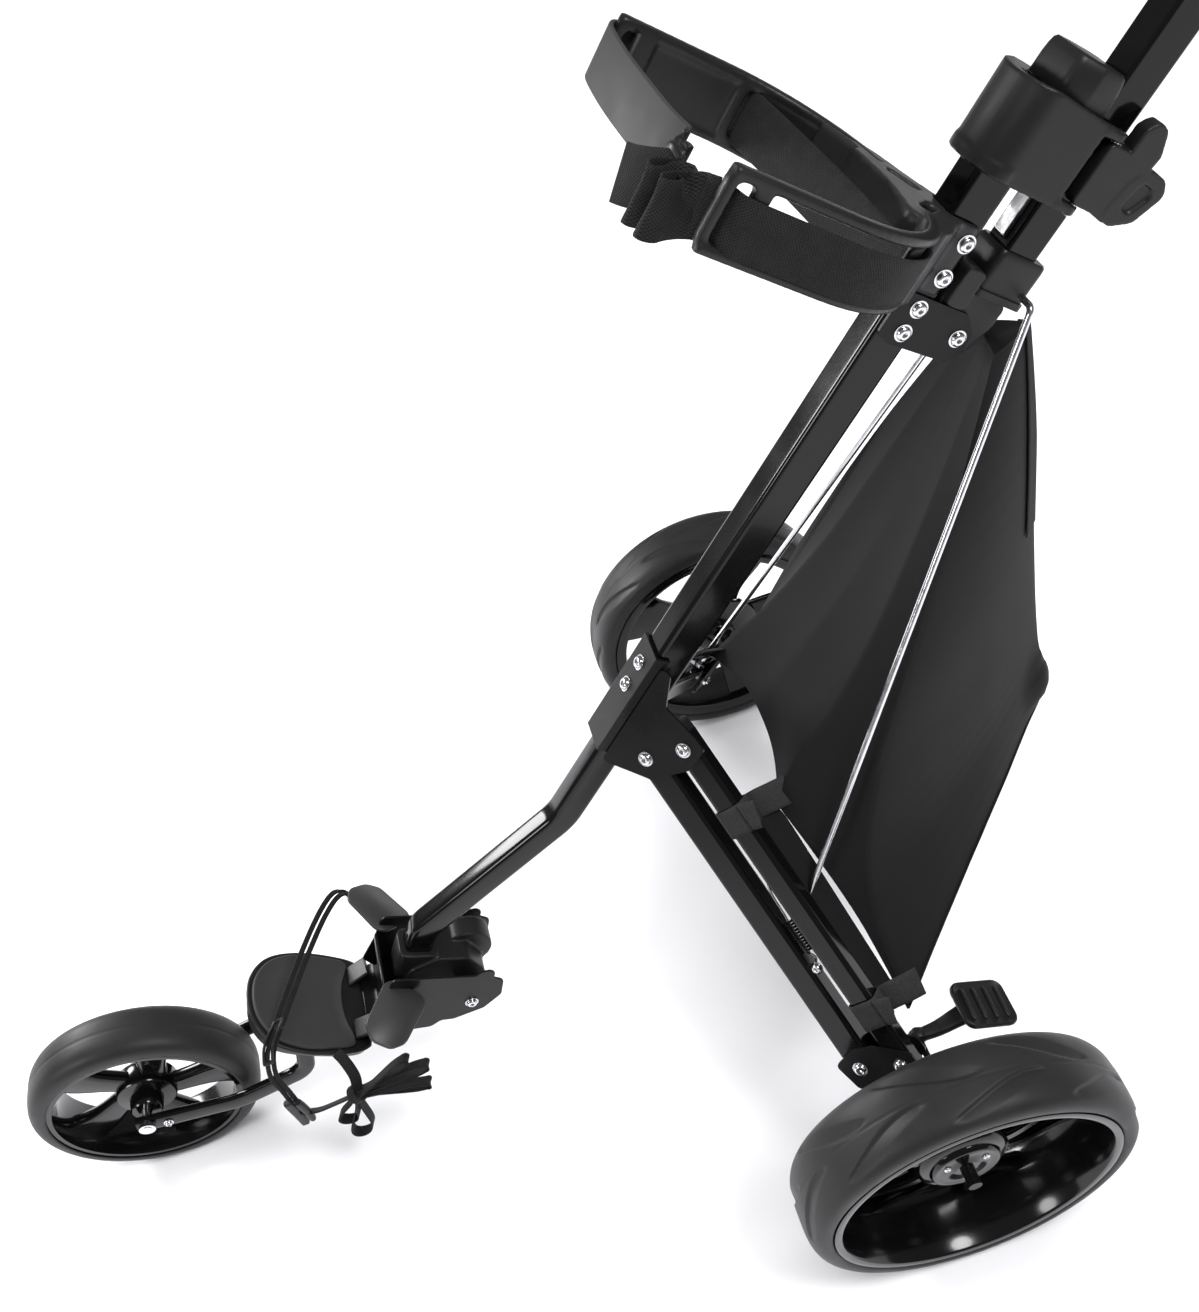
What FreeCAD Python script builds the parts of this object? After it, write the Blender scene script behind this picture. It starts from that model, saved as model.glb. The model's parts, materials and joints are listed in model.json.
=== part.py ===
import FreeCAD, Part
import math
import os

import Sketcher

# Three-wheel folding golf push cart with a fabric storage pouch.
# Axes: +X to the front wheel, +Y to the left, +Z up. Units are millimetres.
# The floor is z = 0 and the wheels stand on it.

V = FreeCAD.Vector
doc = FreeCAD.newDocument("push_cart")

# ---------------------------------------------------------------- driving sizes
SIZES = {
    "rear_axle_x": -179.8,
    "wheelbase": 715.5,
    "half_track": 340.0,
    "rear_wheel_radius": 145.0,
    "rear_tyre_width": 66.0,
    "rear_rim_radius": 125.0,
    "front_wheel_radius": 111.0,
    "front_tyre_width": 53.0,
    "front_rim_radius": 94.0,
    "axle_radius": 6.0,
    "running_gap": 0.08,
    "tube_angle": 51.25,
    "main_deep": 32.0,
    "main_wide": 28.0,
    "main_wall": 2.0,
    "main_length": 590.0,
    "lower_deep": 27.4,
    "lower_wide": 23.4,
    "handle_tube_size": 28.0,
    "handle_offset": 55.0,
    "handle_length": 345.0,
    "bolt_radius": 3.0,
    "bolt_head_radius": 5.5,
    "bolt_head_height": 4.0,
    "plate_thick": 2.5,
    "leg_front_wide": 26.0,
    "leg_front_thick": 20.0,
    "leg_rear_wide": 22.0,
    "leg_rear_thick": 18.0,
    "leg_wall": 1.6,
    "leg_length": 325.0,
    "leg_end": 10.0,
    "rod_radius": 2.6,
    "arm_height": 50.0,
    "arm_thick": 4.0,
    "arm_half_gap": 112.0,
    "base_length": 116.0,
    "base_width": 118.0,
    "strap_width": 38.0,
}
sheet = doc.addObject("Spreadsheet::Sheet", "sizes")
for row, (alias, number) in enumerate(SIZES.items(), 1):
    sheet.set(f"A{row}", alias)
    sheet.set(f"B{row}", str(number))
    sheet.setAlias(f"B{row}", alias)
doc.recompute()


def value(expression):
    """Number behind a sheet expression, in which $ stands for the sheet's name."""
    if isinstance(expression, str):
        return float(sheet.evalExpression(expression.replace("$", "sizes.")))
    return float(expression)


def bind(thing, prop, expression):
    """Give a property a plain number or tie it to the sheet."""
    if isinstance(expression, str):
        thing.setExpression(prop, expression.replace("$", "sizes."))
    else:
        setattr(thing, prop, expression)


# ---------------------------------------------------------------- frames of reference
AXLE_X = value("$rear_axle_x")
ANGLE = math.radians(value("$tube_angle"))
UP = V(-math.cos(ANGLE), 0, math.sin(ANGLE))      # up along the main tube
BACK = V(-math.sin(ANGLE), 0, -math.cos(ANGLE))   # square to it, to the rear and down
SIDE = V(0, 1, 0)
COLLAR = V(-190, 0, 841.5)                        # main tube's axis at its top collar
LEG = V(-0.286, 0.659, -0.697).normalize()        # left leg, from hub to wheel
FLARE = V(0.551, 0.708, 0.444)                    # outward normal of the left leg's plane
FLARE = (FLARE - LEG * FLARE.dot(LEG)).normalize()
OUT = UP.cross(FLARE).normalize()                 # in the leg's plane, away from the tube
LEG_PIVOT = V(146, 40, 404)                       # front leg tube's upper bolt
LEG_LINK = V(-30.9, 15.3, 14.0)                   # from it to the rear leg tube's bolt
LOWER_BEND = V(391, 0, 221.5)                     # last bend of the lower tube's axis
LOWER_END = V(416, 0, 176)
FOLD_PIVOT = V(375, 0, 128)                       # front wheel assembly's hinge
HANDLE_PIVOT = (133.0, 47.0)                      # handle's hinge, down the main tube and behind it


def at(x, y, z):
    """Point given from the rear axle's line, moved to the part's own origin."""
    return V(x + AXLE_X, y, z)


def along(down, back=0.0, side=0.0):
    """Point given down the main tube from the collar, behind its axis and to the left."""
    return COLLAR - UP * down + BACK * back + SIDE * side


def frame(origin, x_axis, z_axis):
    """Placement whose local X and Z lie along two square directions."""
    x_axis = V(x_axis).normalize()
    z_axis = V(z_axis).normalize()
    y_axis = z_axis.cross(x_axis)
    o = at(origin.x, origin.y, origin.z)
    return FreeCAD.Placement(FreeCAD.Matrix(
        x_axis.x, y_axis.x, z_axis.x, o.x,
        x_axis.y, y_axis.y, z_axis.y, o.y,
        x_axis.z, y_axis.z, z_axis.z, o.z,
        0, 0, 0, 1))


def flip(vector, side):
    """The same vector on the left (side 1) or the right (side -1) of the cart."""
    return V(vector.x, vector.y * side, vector.z)


PIECES = []


def keep(label, thing, placement=None):
    """List an object as one sub-part of the cart."""
    doc.recompute()
    if placement is not None:
        thing.Placement = placement
    thing.Label = label
    PIECES.append(thing)
    return thing


# ---------------------------------------------------------------- ways to make a piece
def plane_of(body, role):
    return [f for f in body.Origin.OriginFeatures if f.Role == role][0]


def sketch_on(body, role, name):
    sketch = body.newObject("Sketcher::SketchObject", name)
    sketch.AttachmentSupport = (plane_of(body, role), [""])
    sketch.MapMode = "FlatFace"
    return sketch


def draw_outline(sketch, points):
    """Closed polygon whose corners are sheet expressions or numbers."""
    spots = [V(value(x), value(y), 0) for x, y in points]
    count = len(spots)
    lines = [sketch.addGeometry(Part.LineSegment(spots[i], spots[(i + 1) % count]), False)
             for i in range(count)]
    for i in range(count):
        sketch.addConstraint(Sketcher.Constraint("Coincident", lines[i], 2, lines[(i + 1) % count], 1))
    for line, spot, (x, y) in zip(lines, spots, points):
        for kind, source, number in (("DistanceX", x, spot.x), ("DistanceY", y, spot.y)):
            index = sketch.addConstraint(Sketcher.Constraint(kind, -1, 1, line, 1, number))
            if isinstance(source, str):
                sketch.setExpression(f"Constraints[{index}]", source.replace("$", "sizes."))


def draw_circle(sketch, x, y, radius):
    ring = sketch.addGeometry(Part.Circle(V(x, y, 0), V(0, 0, 1), value(radius)), False)
    index = sketch.addConstraint(Sketcher.Constraint("Radius", ring, value(radius)))
    sketch.addConstraint(Sketcher.Constraint("DistanceX", -1, 1, ring, 3, x))
    sketch.addConstraint(Sketcher.Constraint("DistanceY", -1, 1, ring, 3, y))
    if isinstance(radius, str):
        sketch.setExpression(f"Constraints[{index}]", radius.replace("$", "sizes."))


def rectangle(wide, deep):
    return [(f"-({wide})/2", f"-({deep})/2"), (f"({wide})/2", f"-({deep})/2"),
            (f"({wide})/2", f"({deep})/2"), (f"-({wide})/2", f"({deep})/2")]


def upright_edges(shape):
    """Names of the straight edges that run along local Z."""
    names = []
    for i, edge in enumerate(shape.Edges, 1):
        if edge.Curve.TypeId == "Part::GeomLine" and abs(edge.tangentAt(edge.FirstParameter).z) > 0.999:
            names.append(f"Edge{i}")
    return names


def padded(name, outlines, height, corner=0.0, holes=()):
    """Body padded from closed outlines and round holes, with its upright edges rounded."""
    body = doc.addObject("PartDesign::Body", name + "_body")
    sketch = sketch_on(body, "XY_Plane", name + "_outline")
    for points in outlines:
        draw_outline(sketch, points)
    for x, y, radius in holes:
        draw_circle(sketch, x, y, radius)
    pad = body.newObject("PartDesign::Pad", name + "_pad")
    pad.Profile = sketch
    bind(pad, "Length", height)
    doc.recompute()
    if corner:
        rounding = body.newObject("PartDesign::Fillet", name + "_corners")
        rounding.Base = (pad, upright_edges(pad.Shape))
        rounding.Radius = corner
        doc.recompute()
    return body


def turned(name, outline):
    """Body turned about local Z from a half section given as (radius, height)."""
    body = doc.addObject("PartDesign::Body", name + "_body")
    sketch = sketch_on(body, "XZ_Plane", name + "_section")
    draw_outline(sketch, outline)
    turn = body.newObject("PartDesign::Revolution", name + "_turn")
    turn.Profile = sketch
    turn.ReferenceAxis = (sketch, ["V_Axis"])
    turn.Angle = 360
    doc.recompute()
    return body


def rounded_path(points, radii):
    """Wire of straight runs joined by tangent arcs."""
    edges = []
    start = points[0]
    for i in range(1, len(points) - 1):
        before = (points[i - 1] - points[i]).normalize()
        after = (points[i + 1] - points[i]).normalize()
        half = before.getAngle(after) / 2
        reach = radii[i - 1] / math.tan(half)
        a = points[i] + before * reach
        b = points[i] + after * reach
        middle = (before + after).normalize()
        centre = points[i] + middle * (radii[i - 1] / math.sin(half))
        edges.append(Part.LineSegment(start, a).toShape())
        edges.append(Part.Arc(a, centre - middle * radii[i - 1], b).toShape())
        start = b
    edges.append(Part.LineSegment(start, points[-1]).toShape())
    return Part.Wire(edges)


def swept(name, points, radii, section):
    """Solid of a section carried along a rounded path; the section is drawn square to its start."""
    path = doc.addObject("Part::Feature", name + "_path")
    path.Shape = rounded_path([at(p.x, p.y, p.z) for p in points], radii)
    sweep = doc.addObject("Part::Sweep", name + "_sweep")
    sweep.Sections = [section]
    sweep.Spine = (path, [f"Edge{i + 1}" for i in range(len(path.Shape.Edges))])
    sweep.Solid = True
    sweep.Frenet = False
    doc.recompute()
    return sweep


def round_section(name, radius, start, direction):
    ring = doc.addObject("Part::Circle", name + "_section")
    bind(ring, "Radius", radius)
    ring.Placement = FreeCAD.Placement(at(start.x, start.y, start.z),
                                       FreeCAD.Rotation(V(0, 0, 1), direction))
    return ring


def box_section(name, wide, deep, start, direction, corner):
    """Rounded rectangle, wide along Y, square to a direction in the XZ plane."""
    flat = padded(name + "_section_body", [rectangle(wide, deep)], 1.0, corner)
    flat.Placement = frame(start, SIDE, direction)
    section = doc.addObject("Part::Feature", name + "_section")
    face = [f for f in flat.Shape.Faces
            if f.Surface.TypeId == "Part::GeomPlane" and f.distToShape(
                Part.Vertex(at(start.x, start.y, start.z)))[0] < 1e-6][0]
    section.Shape = face.OuterWire
    return section


def cut(name, base, tools):
    """One piece with other solids taken away."""
    for number, tool in enumerate(tools, 1):
        result = doc.addObject("Part::Cut", f"{name}_cut_{number}")
        result.Base = base
        result.Tool = tool
        base = result
    doc.recompute()
    return base


def fused(name, things):
    join = doc.addObject("Part::MultiFuse", name + "_join")
    join.Shapes = things
    join.Refine = True
    doc.recompute()
    return join


def cylinder(name, radius, height, base, direction):
    """Round bar of a given radius from a base point along a direction."""
    bar = doc.addObject("Part::Cylinder", name)
    bind(bar, "Radius", radius)
    bind(bar, "Height", height)
    bar.Placement = FreeCAD.Placement(at(base.x, base.y, base.z), FreeCAD.Rotation(V(0, 0, 1), direction))
    return bar


def drills(name, spots, direction, reach, extra="$running_gap"):
    """Cutting bars for bolt holes through a piece, half their reach each way."""
    tools = []
    for number, spot in enumerate(spots, 1):
        tools.append(cylinder(f"{name}_drill_{number}", f"$bolt_radius + {extra}", reach,
                              spot - V(direction) * (reach / 2), direction))
    return tools


def bolt_shape(seat, direction, length):
    """Hexagon-socket button bolt: domed head on its seat, shank, and nut at the far end."""
    head_radius = value("$bolt_head_radius")
    height = value("$bolt_head_height")
    out = V(direction).normalize()
    foot = at(seat.x, seat.y, seat.z)
    washer = Part.makeCylinder(head_radius + 1.2, 1.0, foot, out)
    head = Part.makeCone(head_radius, head_radius * 0.7, height - 1, foot + out, out)
    socket = Part.makeCylinder(1.8, 2.0, foot + out * (height - 1.5), out)
    shank = Part.makeCylinder(value("$bolt_radius"), length, foot - out * length, out)
    nut = Part.makeCylinder(head_radius, 3.0, foot - out * (length + 3), out)
    return washer.fuse([head, shank, nut]).cut(socket).removeSplitter()


def bolt_group(label, bolts):
    """Node of identical bolts: each has a seat, an outward direction and a grip length."""
    group = doc.addObject("Part::Feature", label + "_group")
    solids = []
    for seat, direction, length in bolts:
        solids.extend(bolt_shape(seat, direction, length).Solids)
    group.Shape = Part.makeCompound(solids)
    return keep(label, group)


def mirrored(label, source):
    """Right-hand copy of a left-hand piece."""
    copy = doc.addObject("Part::Mirroring", label + "_mirror")
    copy.Source = source
    copy.Normal = V(0, 1, 0)
    copy.Base = V(0, 0, 0)
    return keep(label, copy)


def pair(label, source, placement=None):
    """A left-hand piece and its right-hand copy."""
    left = keep(label + "_left", source, placement)
    return left, mirrored(label + "_right", left)


# ---------------------------------------------------------------- centre frame
SADDLE_BOLTS = [along(72, 4), along(98, 4)]
HUB_BOLTS = (483, 508)                            # down the main tube, through its front face
CHEEK_BOLTS = [along(124, 4), along(143, 4)]


def make_main_tube():
    """Straight rounded tube from the collar to the hub."""
    shell = padded("main_tube", [rectangle("$main_wide", "$main_deep"),
                                 rectangle("$main_wide - 2*$main_wall", "$main_deep - 2*$main_wall")],
                   "$main_length", 4.5)
    shell.Placement = frame(along(560), SIDE, UP)
    holes = drills("main_tube", SADDLE_BOLTS + CHEEK_BOLTS, SIDE, 60)
    holes += drills("main_tube_front", [along(spot) for spot in HUB_BOLTS], BACK, 60)
    keep("main_tube", cut("main_tube", shell, holes))


def make_lower_tube():
    """Bent tube from inside the main tube down to the front hinge."""
    route = [along(520), along(672), LOWER_BEND, LOWER_END]
    down = UP * -1
    outside = swept("lower_tube", route, [70, 30],
                    box_section("lower_tube", "$lower_wide", "$lower_deep", route[0], down, 5.0))
    bore_route = [along(519.9)] + route[1:3] + [V(416.5, 0, 175.1)]
    bore = swept("lower_tube_bore", bore_route, [70, 30],
                 box_section("lower_tube_bore", "$lower_wide - 4", "$lower_deep - 4",
                             bore_route[0], down, 3.5))
    keep("lower_tube", cut("lower_tube", outside, [bore]))


def make_hub():
    """Stamped channel round the tube joint with a flared leg plate on each side."""
    wide = value("$main_wide") / 2 + 0.4
    thick = value("$plate_thick")
    front = value("$main_deep") / 2 + 0.4
    channel = padded("hub_channel", [[(wide, -5), (wide + thick, -5), (wide + thick, -front - thick),
                                      (-wide - thick, -front - thick), (-wide - thick, -5), (-wide, -5),
                                      (-wide, -front), (wide, -front)]], 108, 0.9)
    channel.Placement = frame(along(572), SIDE, UP)
    seats = [along(spot, -front - thick) for spot in HUB_BOLTS]
    low, high = -30.0, 80.0
    edge = -31.0
    plate = padded("hub_plate", [[(edge, low), (2, low + 12), (14, -14), (36, 18), (36, 42),
                                  (24, 46), (-10, 52), (-22, high), (edge, high)]],
                   "$plate_thick", 4.0)
    plate.Placement = frame(LEG_PIVOT - FLARE * thick, OUT, FLARE)
    drilled = cut("hub_plate", plate, drills("hub_plate", [LEG_PIVOT, LEG_PIVOT + LEG_LINK], FLARE, 40))
    other = doc.addObject("Part::Mirroring", "hub_plate_right")
    other.Source = drilled
    other.Normal = V(0, 1, 0)
    whole = fused("hub_bracket", [channel, drilled, other])
    keep("hub_bracket", cut("hub_bracket", whole, drills("hub_bracket", seats, BACK, 20)))
    bolt_group("hub_bolts", [(seat, BACK * -1, 2 * front + thick) for seat in seats])
    grip = thick + 0.4 + value("$leg_front_thick") + 0.4
    bolt_group("leg_pivot_bolts", [(flip(spot, side), flip(FLARE, side), grip) for side in (1, -1)
                                   for spot in (LEG_PIVOT, LEG_PIVOT + LEG_LINK)])


# ---------------------------------------------------------------- legs
def leg_tube(name, wide, thick, corner, pivot):
    """Straight rounded tube between two bolts in the leg's plane, drilled at both."""
    tube = padded(name, [rectangle(thick, wide), rectangle(f"{thick} - 2*$leg_wall", f"{wide} - 2*$leg_wall")],
                  "$leg_length + 2*$leg_end", corner)
    centre = pivot - FLARE * (value("$plate_thick") + 0.4 + value(thick) / 2)
    tube.Placement = frame(centre - LEG * value("$leg_end"), FLARE, LEG)
    spots = [pivot, pivot + LEG * value("$leg_length")]
    return cut(name, tube, drills(name, spots, FLARE, 90))


def make_legs():
    """Front and rear tube of each leg: with the hub and the wheel bracket, a parallelogram."""
    front, _ = pair("leg_front_tube", leg_tube("leg_front_tube", "$leg_front_wide", "$leg_front_thick",
                                               4.0, LEG_PIVOT))
    rear_pivot = LEG_PIVOT + LEG_LINK
    rear = leg_tube("leg_rear_tube", "$leg_rear_wide", "$leg_rear_thick", 4.0, rear_pivot)
    stud = cylinder("stay_rod_stud", 2.2, 10, ROD_FOOT - ROD_AXIS * 6, ROD_AXIS)
    pair("leg_rear_tube", fused("leg_rear_tube", [rear, stud]))
    inset = value("$plate_thick") + 0.4
    across = FLARE.cross(LEG).normalize()
    cap = padded("leg_cap", [rectangle("$leg_rear_thick", "$leg_rear_wide")], 12, 3.0)
    pair("leg_cap", cap, frame(rear_pivot - FLARE * (inset + value("$leg_rear_thick") / 2)
                               - LEG * (value("$leg_end") + 12), FLARE, LEG))
    # Return spring in the gap between the two tubes, on the front tube's edge.
    seat = (LEG_PIVOT + LEG * 222 - FLARE * (inset + value("$leg_front_thick") / 2)
            + across * (value("$leg_front_wide") / 2))
    coil_start = seat + across * 6 - LEG * 6
    coil = cylinder("leg_spring_coil", 4.5, 32, coil_start, LEG * -1)
    pair("leg_spring", coil)


PEDAL_PIVOT = V(-4, 262, 178)


def make_wheel_brackets():
    """Clevis plates that join both leg tubes, with the stub that holds the axle."""
    low_front = LEG_PIVOT + LEG * value("$leg_length")
    low_rear = low_front + LEG_LINK
    thick = value("$plate_thick")
    depth = thick + 0.4 + value("$leg_front_thick") + 0.4
    outline = [(-16, -15), (10, -18), (30, -8), (36, 8), (33, 42), (20, 46), (-6, 26), (-16, 10)]
    plates = []
    for name, lift in (("outer", -thick), ("inner", -depth - thick)):
        plate = padded(f"wheel_bracket_{name}", [outline], "$plate_thick", 5.0)
        plate.Placement = frame(low_front + FLARE * lift, OUT, FLARE)
        plates.append(plate)
    hub_face = value("$half_track") - value("$rear_tyre_width") / 2 - 4
    radius = value("$rear_wheel_radius")
    stub = cylinder("axle_stub", 13, 34, V(0, hub_face - 34, radius), SIDE)
    axle = cylinder("rear_axle_bar", "$axle_radius", 82, V(0, hub_face - 20, radius), SIDE)
    heel = low_front + OUT * 27 + UP * 3 - FLARE * (depth + thick / 2)
    spacer = cylinder("bracket_spacer", 8, depth, heel, FLARE)
    middle = heel + FLARE * (depth / 2)
    reach = V(0, hub_face - 17, radius) - middle
    strut = cylinder("bracket_strut", 7, reach.Length, middle, reach)
    lug = cylinder("brake_lug", 5, PEDAL_PIVOT.z - radius + 4, V(PEDAL_PIVOT.x, 279, radius), V(0, 0, 1))
    pin = cylinder("brake_pin", "$bolt_radius", 43, PEDAL_PIVOT - SIDE * 26, SIDE)
    whole = fused("wheel_bracket", plates + [stub, spacer, strut, axle, lug, pin])
    holes = drills("wheel_bracket", [low_front, low_rear], FLARE, 80)
    pair("wheel_bracket", cut("wheel_bracket", whole, holes))
    bolts = doc.addObject("Part::Feature", "leg_foot_bolt_pair")
    bolts.Shape = Part.makeCompound([bolt_shape(spot, FLARE, depth + thick + 0.1).Solids[0]
                                     for spot in (low_front, low_rear)])
    pair("leg_foot_bolts", bolts)


def make_pedals():
    """Foot brake: a ribbed pad on an arm that pivots on the wheel bracket."""
    arm = padded("brake_arm", [[(-7, -7), (62, -4), (62, 4), (-7, 7)]], 6, 3.0)
    arm.Placement = frame(PEDAL_PIVOT - SIDE * 22, V(-58, 0, 18), SIDE)
    boss = cylinder("brake_boss", 6.5, 9, PEDAL_PIVOT - SIDE * 23.5, SIDE)
    bore = cylinder("brake_bore", "$bolt_radius + $running_gap", 30, PEDAL_PIVOT - SIDE * 35, SIDE)
    pad = padded("brake_pad", [rectangle("52", "44")], 7, 8.0)
    pad.Placement = frame(V(-62, 243, 192), V(0.9, 0, 0.436), V(-0.436, 0, 0.9))
    ribs = [doc.addObject("Part::Box", f"brake_rib_{i}") for i in range(4)]
    for i, rib in enumerate(ribs):
        rib.Length, rib.Width, rib.Height = 2.4, 34, 2
        rib.Placement = frame(V(-62, 243, 192) + V(0.9, 0, 0.436) * (-17 + i * 10.5)
                              + SIDE * -17 + V(-0.436, 0, 0.9) * 6.5, V(0.9, 0, 0.436), V(-0.436, 0, 0.9))
    pair("brake_pedal", cut("brake_pedal", fused("brake_pedal", [arm, boss, pad] + ribs), [bore]))


# ---------------------------------------------------------------- wheels
def tyre_section(radius, rim, wide, shoulder):
    """Half section of a tyre as (radius, height), crowned at the middle."""
    half = f"({wide})/2"
    return [(rim, f"-{half} + 2"), (f"{radius} - {shoulder}", f"-{half}"), (f"{radius} - 5", f"-{half} + 7"),
            (radius, f"-{half} + 20"), (radius, f"{half} - 20"), (f"{radius} - 5", f"{half} - 7"),
            (f"{radius} - {shoulder}", half), (rim, f"{half} - 2")]


def sector(middle, half_angle, inner, outer):
    """Outline of an opening between two spokes, narrower towards the hub."""
    turns = [middle + half_angle * share for share in (-1, -0.33, 0.33, 1)]
    rim_side = [(outer * math.cos(math.radians(a)), outer * math.sin(math.radians(a))) for a in turns]
    hub_side = [(inner * math.cos(math.radians(a)), inner * math.sin(math.radians(a))) for a in (
        middle + half_angle * 0.7, middle - half_angle * 0.7)]
    return rim_side + hub_side


def make_rear_wheels():
    """Moulded rim with a dished face, and a tyre round it; the dish faces outwards."""
    centre = V(0, value("$half_track"), value("$rear_wheel_radius"))
    place = frame(centre, V(1, 0, 0), SIDE)
    tyre = turned("rear_tyre", tyre_section("$rear_wheel_radius", "$rear_rim_radius", "$rear_tyre_width", "14"))
    pair("rear_tyre", tyre, place)
    bore = "$axle_radius + $running_gap"
    rim = turned("rear_rim", [
        (bore, -32), (20, -32), (20, -24), (112, -24), (116, -31), ("$rear_rim_radius", -31),
        ("$rear_rim_radius", 31), (119, 31), (114, 8), (110, -19), (46, -19), (40, 4), (34, 4), (31, 9), (bore, 9)])
    rim.Placement = place
    openings = padded("rear_rim_openings", [sector(number * 72, 21, 54, 105) for number in range(5)], 20, 5.0)
    openings.Placement = frame(centre - SIDE * 32, V(1, 0, 0), SIDE)
    pair("rear_rim", cut("rear_rim", rim, [openings]))


def make_front_wheel():
    """Front wheel: smooth tyre, spoked rim and the axle that the fork carries."""
    centre = V(value("$wheelbase"), 0, value("$front_wheel_radius"))
    place = frame(centre, V(1, 0, 0), SIDE)
    tyre = turned("front_tyre", tyre_section("$front_wheel_radius", "$front_rim_radius",
                                             "$front_tyre_width", "10"))
    keep("front_tyre", tyre, place)
    bore = "$axle_radius - 1 + $running_gap"
    barrel = turned("front_rim_barrel", [("$front_rim_radius - 7", -24), ("$front_rim_radius", -24),
                                         ("$front_rim_radius", 24), ("$front_rim_radius - 7", 24)])
    hub = turned("front_rim_hub", [(bore, -28), (15, -28), (17, -20), (17, 20), (15, 28), (bore, 28)])
    spokes = []
    for number in range(5):
        spoke = doc.addObject("Part::Box", f"front_spoke_{number + 1}")
        bind(spoke, "Length", "$front_rim_radius - 20")
        spoke.Width, spoke.Height = 20, 12
        spoke.Placement = FreeCAD.Placement(V(0, 0, 0), FreeCAD.Rotation(V(0, 0, 1), 90 + number * 72)).multiply(
            FreeCAD.Placement(V(16, -10, -6), FreeCAD.Rotation()))
        spokes.append(spoke)
    keep("front_rim", fused("front_rim", [barrel, hub] + spokes), place)
    bar = Part.makeCylinder(value("$axle_radius") - 1, 98, at(centre.x, -49, centre.z), SIDE)
    axle = doc.addObject("Part::Feature", "front_axle_with_nuts")
    axle.Shape = bar.fuse([Part.makeCylinder(8, 5, at(centre.x, side * 43.3, centre.z), SIDE * side)
                           for side in (1, -1)]).removeSplitter()
    keep("front_axle", axle)


# ---------------------------------------------------------------- front fold assembly
BASE_FACE = V(527, 0, 166)                        # centre of the bag rest's face
BASE_X = BACK * -1


def make_front_fork():
    """Two flattened bent arms from the base plate's underside to the axle."""
    axle = V(value("$wheelbase"), 38, value("$front_wheel_radius"))
    route = [V(540, 38, 150), V(552, 38, 108), V(628, 38, 92), V(726, 38, 108)]
    start = (route[1] - route[0]).normalize()
    arm = swept("fork_arm", route, [26, 60],
                box_section("fork_arm", "9", "20", route[0], start, 3.5))
    hole = cylinder("fork_axle_hole", "$axle_radius - 0.92", 30, axle - SIDE * 15, SIDE)
    pair("fork_arm", cut("fork_arm", arm, [hole]))


def make_base():
    """Bag rest: a tilted plate square to the main tube, with a raised pad on it."""
    half_x = value("$base_length") / 2
    half_y = value("$base_width") / 2
    skirt = 14.0
    plate = padded("base_plate", [[(-half_x, -half_y + 14), (-half_x, half_y - 14), (-10, half_y),
                                   (half_x - 22, half_y - 12), (half_x, 24), (half_x, -24),
                                   (half_x - 22, -half_y + 12), (-10, -half_y)]], skirt, 9.0)
    plate.Placement = frame(BASE_FACE - UP * (skirt + 4), BASE_X, UP)
    clear = []
    for side in (1, -1):
        slot = doc.addObject("Part::Box", f"base_arm_pocket_{'l' if side > 0 else 'r'}")
        slot.Length, slot.Width, slot.Height = 60, 10, 34
        slot.Placement = FreeCAD.Placement(at(522, side * 38 - 5, 118), FreeCAD.Rotation())
        clear.append(slot)
    keep("base_plate", cut("base_plate", plate, clear))
    pad = padded("base_pad", [[(-46, -30), (-46, 30), (-24, 48), (14, 48), (44, 24), (44, -24),
                               (14, -48), (-24, -48)]], 3.8, 8.0)
    keep("base_pad", pad, frame(BASE_FACE - UP * 3.8, BASE_X, UP))


def make_fold_brackets():
    """Side plates on the fold hinge, a cradle wing on each, and the bridge to the base."""
    outline = [(57, 78), (-24, 35), (-38, 18), (-30, -4), (-8, -18), (48, -20), (84, -8), (96, 22), (76, 48)]
    plate = padded("side_plate", [outline], "$plate_thick", 5.0)
    plate.Placement = FreeCAD.Placement(at(FOLD_PIVOT.x, 38, FOLD_PIVOT.z), FreeCAD.Rotation(V(1, 0, 0), 90))
    copy = doc.addObject("Part::Mirroring", "side_plate_right")
    copy.Source = plate
    copy.Normal = V(0, 1, 0)
    bridge = padded("fold_bridge", [rectangle("34", "73")], 10, 3.0)
    bridge.Placement = frame(V(452, 0, 122), BASE_X, UP)
    direction = V(0.5, 0.85, 0.15).normalize()
    normal = direction.cross(UP).normalize()
    wing = padded("cradle_wing", [[(0, -24), (54, -20), (66, -8), (66, 12), (54, 24), (0, 26)]], 4, 6.0)
    wing.Placement = frame(V(422, 37.6, 178), direction, normal)
    wing_copy = doc.addObject("Part::Mirroring", "cradle_wing_right")
    wing_copy.Source = wing
    wing_copy.Normal = V(0, 1, 0)
    hole = drills("fold_bracket", [FOLD_PIVOT], SIDE, 120)
    whole = fused("fold_bracket", [plate, copy, bridge, wing, wing_copy])
    keep("fold_bracket", cut("fold_bracket", whole, hole))
    bolt_group("fold_bolt", [(FOLD_PIVOT + SIDE * 38, SIDE, 76)])


def make_knuckle():
    """Moulded knuckle on the lower tube's end, turning on the fold bolt."""
    block = padded("fold_knuckle", [[(-20, -14), (22, -14), (40, 6), (58, 44), (30, 58), (8, 58), (-22, 48)]],
                   66.4, 7.0)
    block.Placement = FreeCAD.Placement(at(FOLD_PIVOT.x, 33.2, FOLD_PIVOT.z), FreeCAD.Rotation(V(1, 0, 0), 90))
    socket = padded("knuckle_socket", [rectangle("$lower_wide + 0.4", "$lower_deep + 0.4")], 70, 5.2)
    down = (LOWER_END - LOWER_BEND).normalize()
    socket.Placement = frame(LOWER_END - down * 69.8, SIDE, down)
    hole = drills("fold_knuckle", [FOLD_PIVOT], SIDE, 90)
    keep("fold_knuckle", cut("fold_knuckle", block, [socket] + hole))


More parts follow.
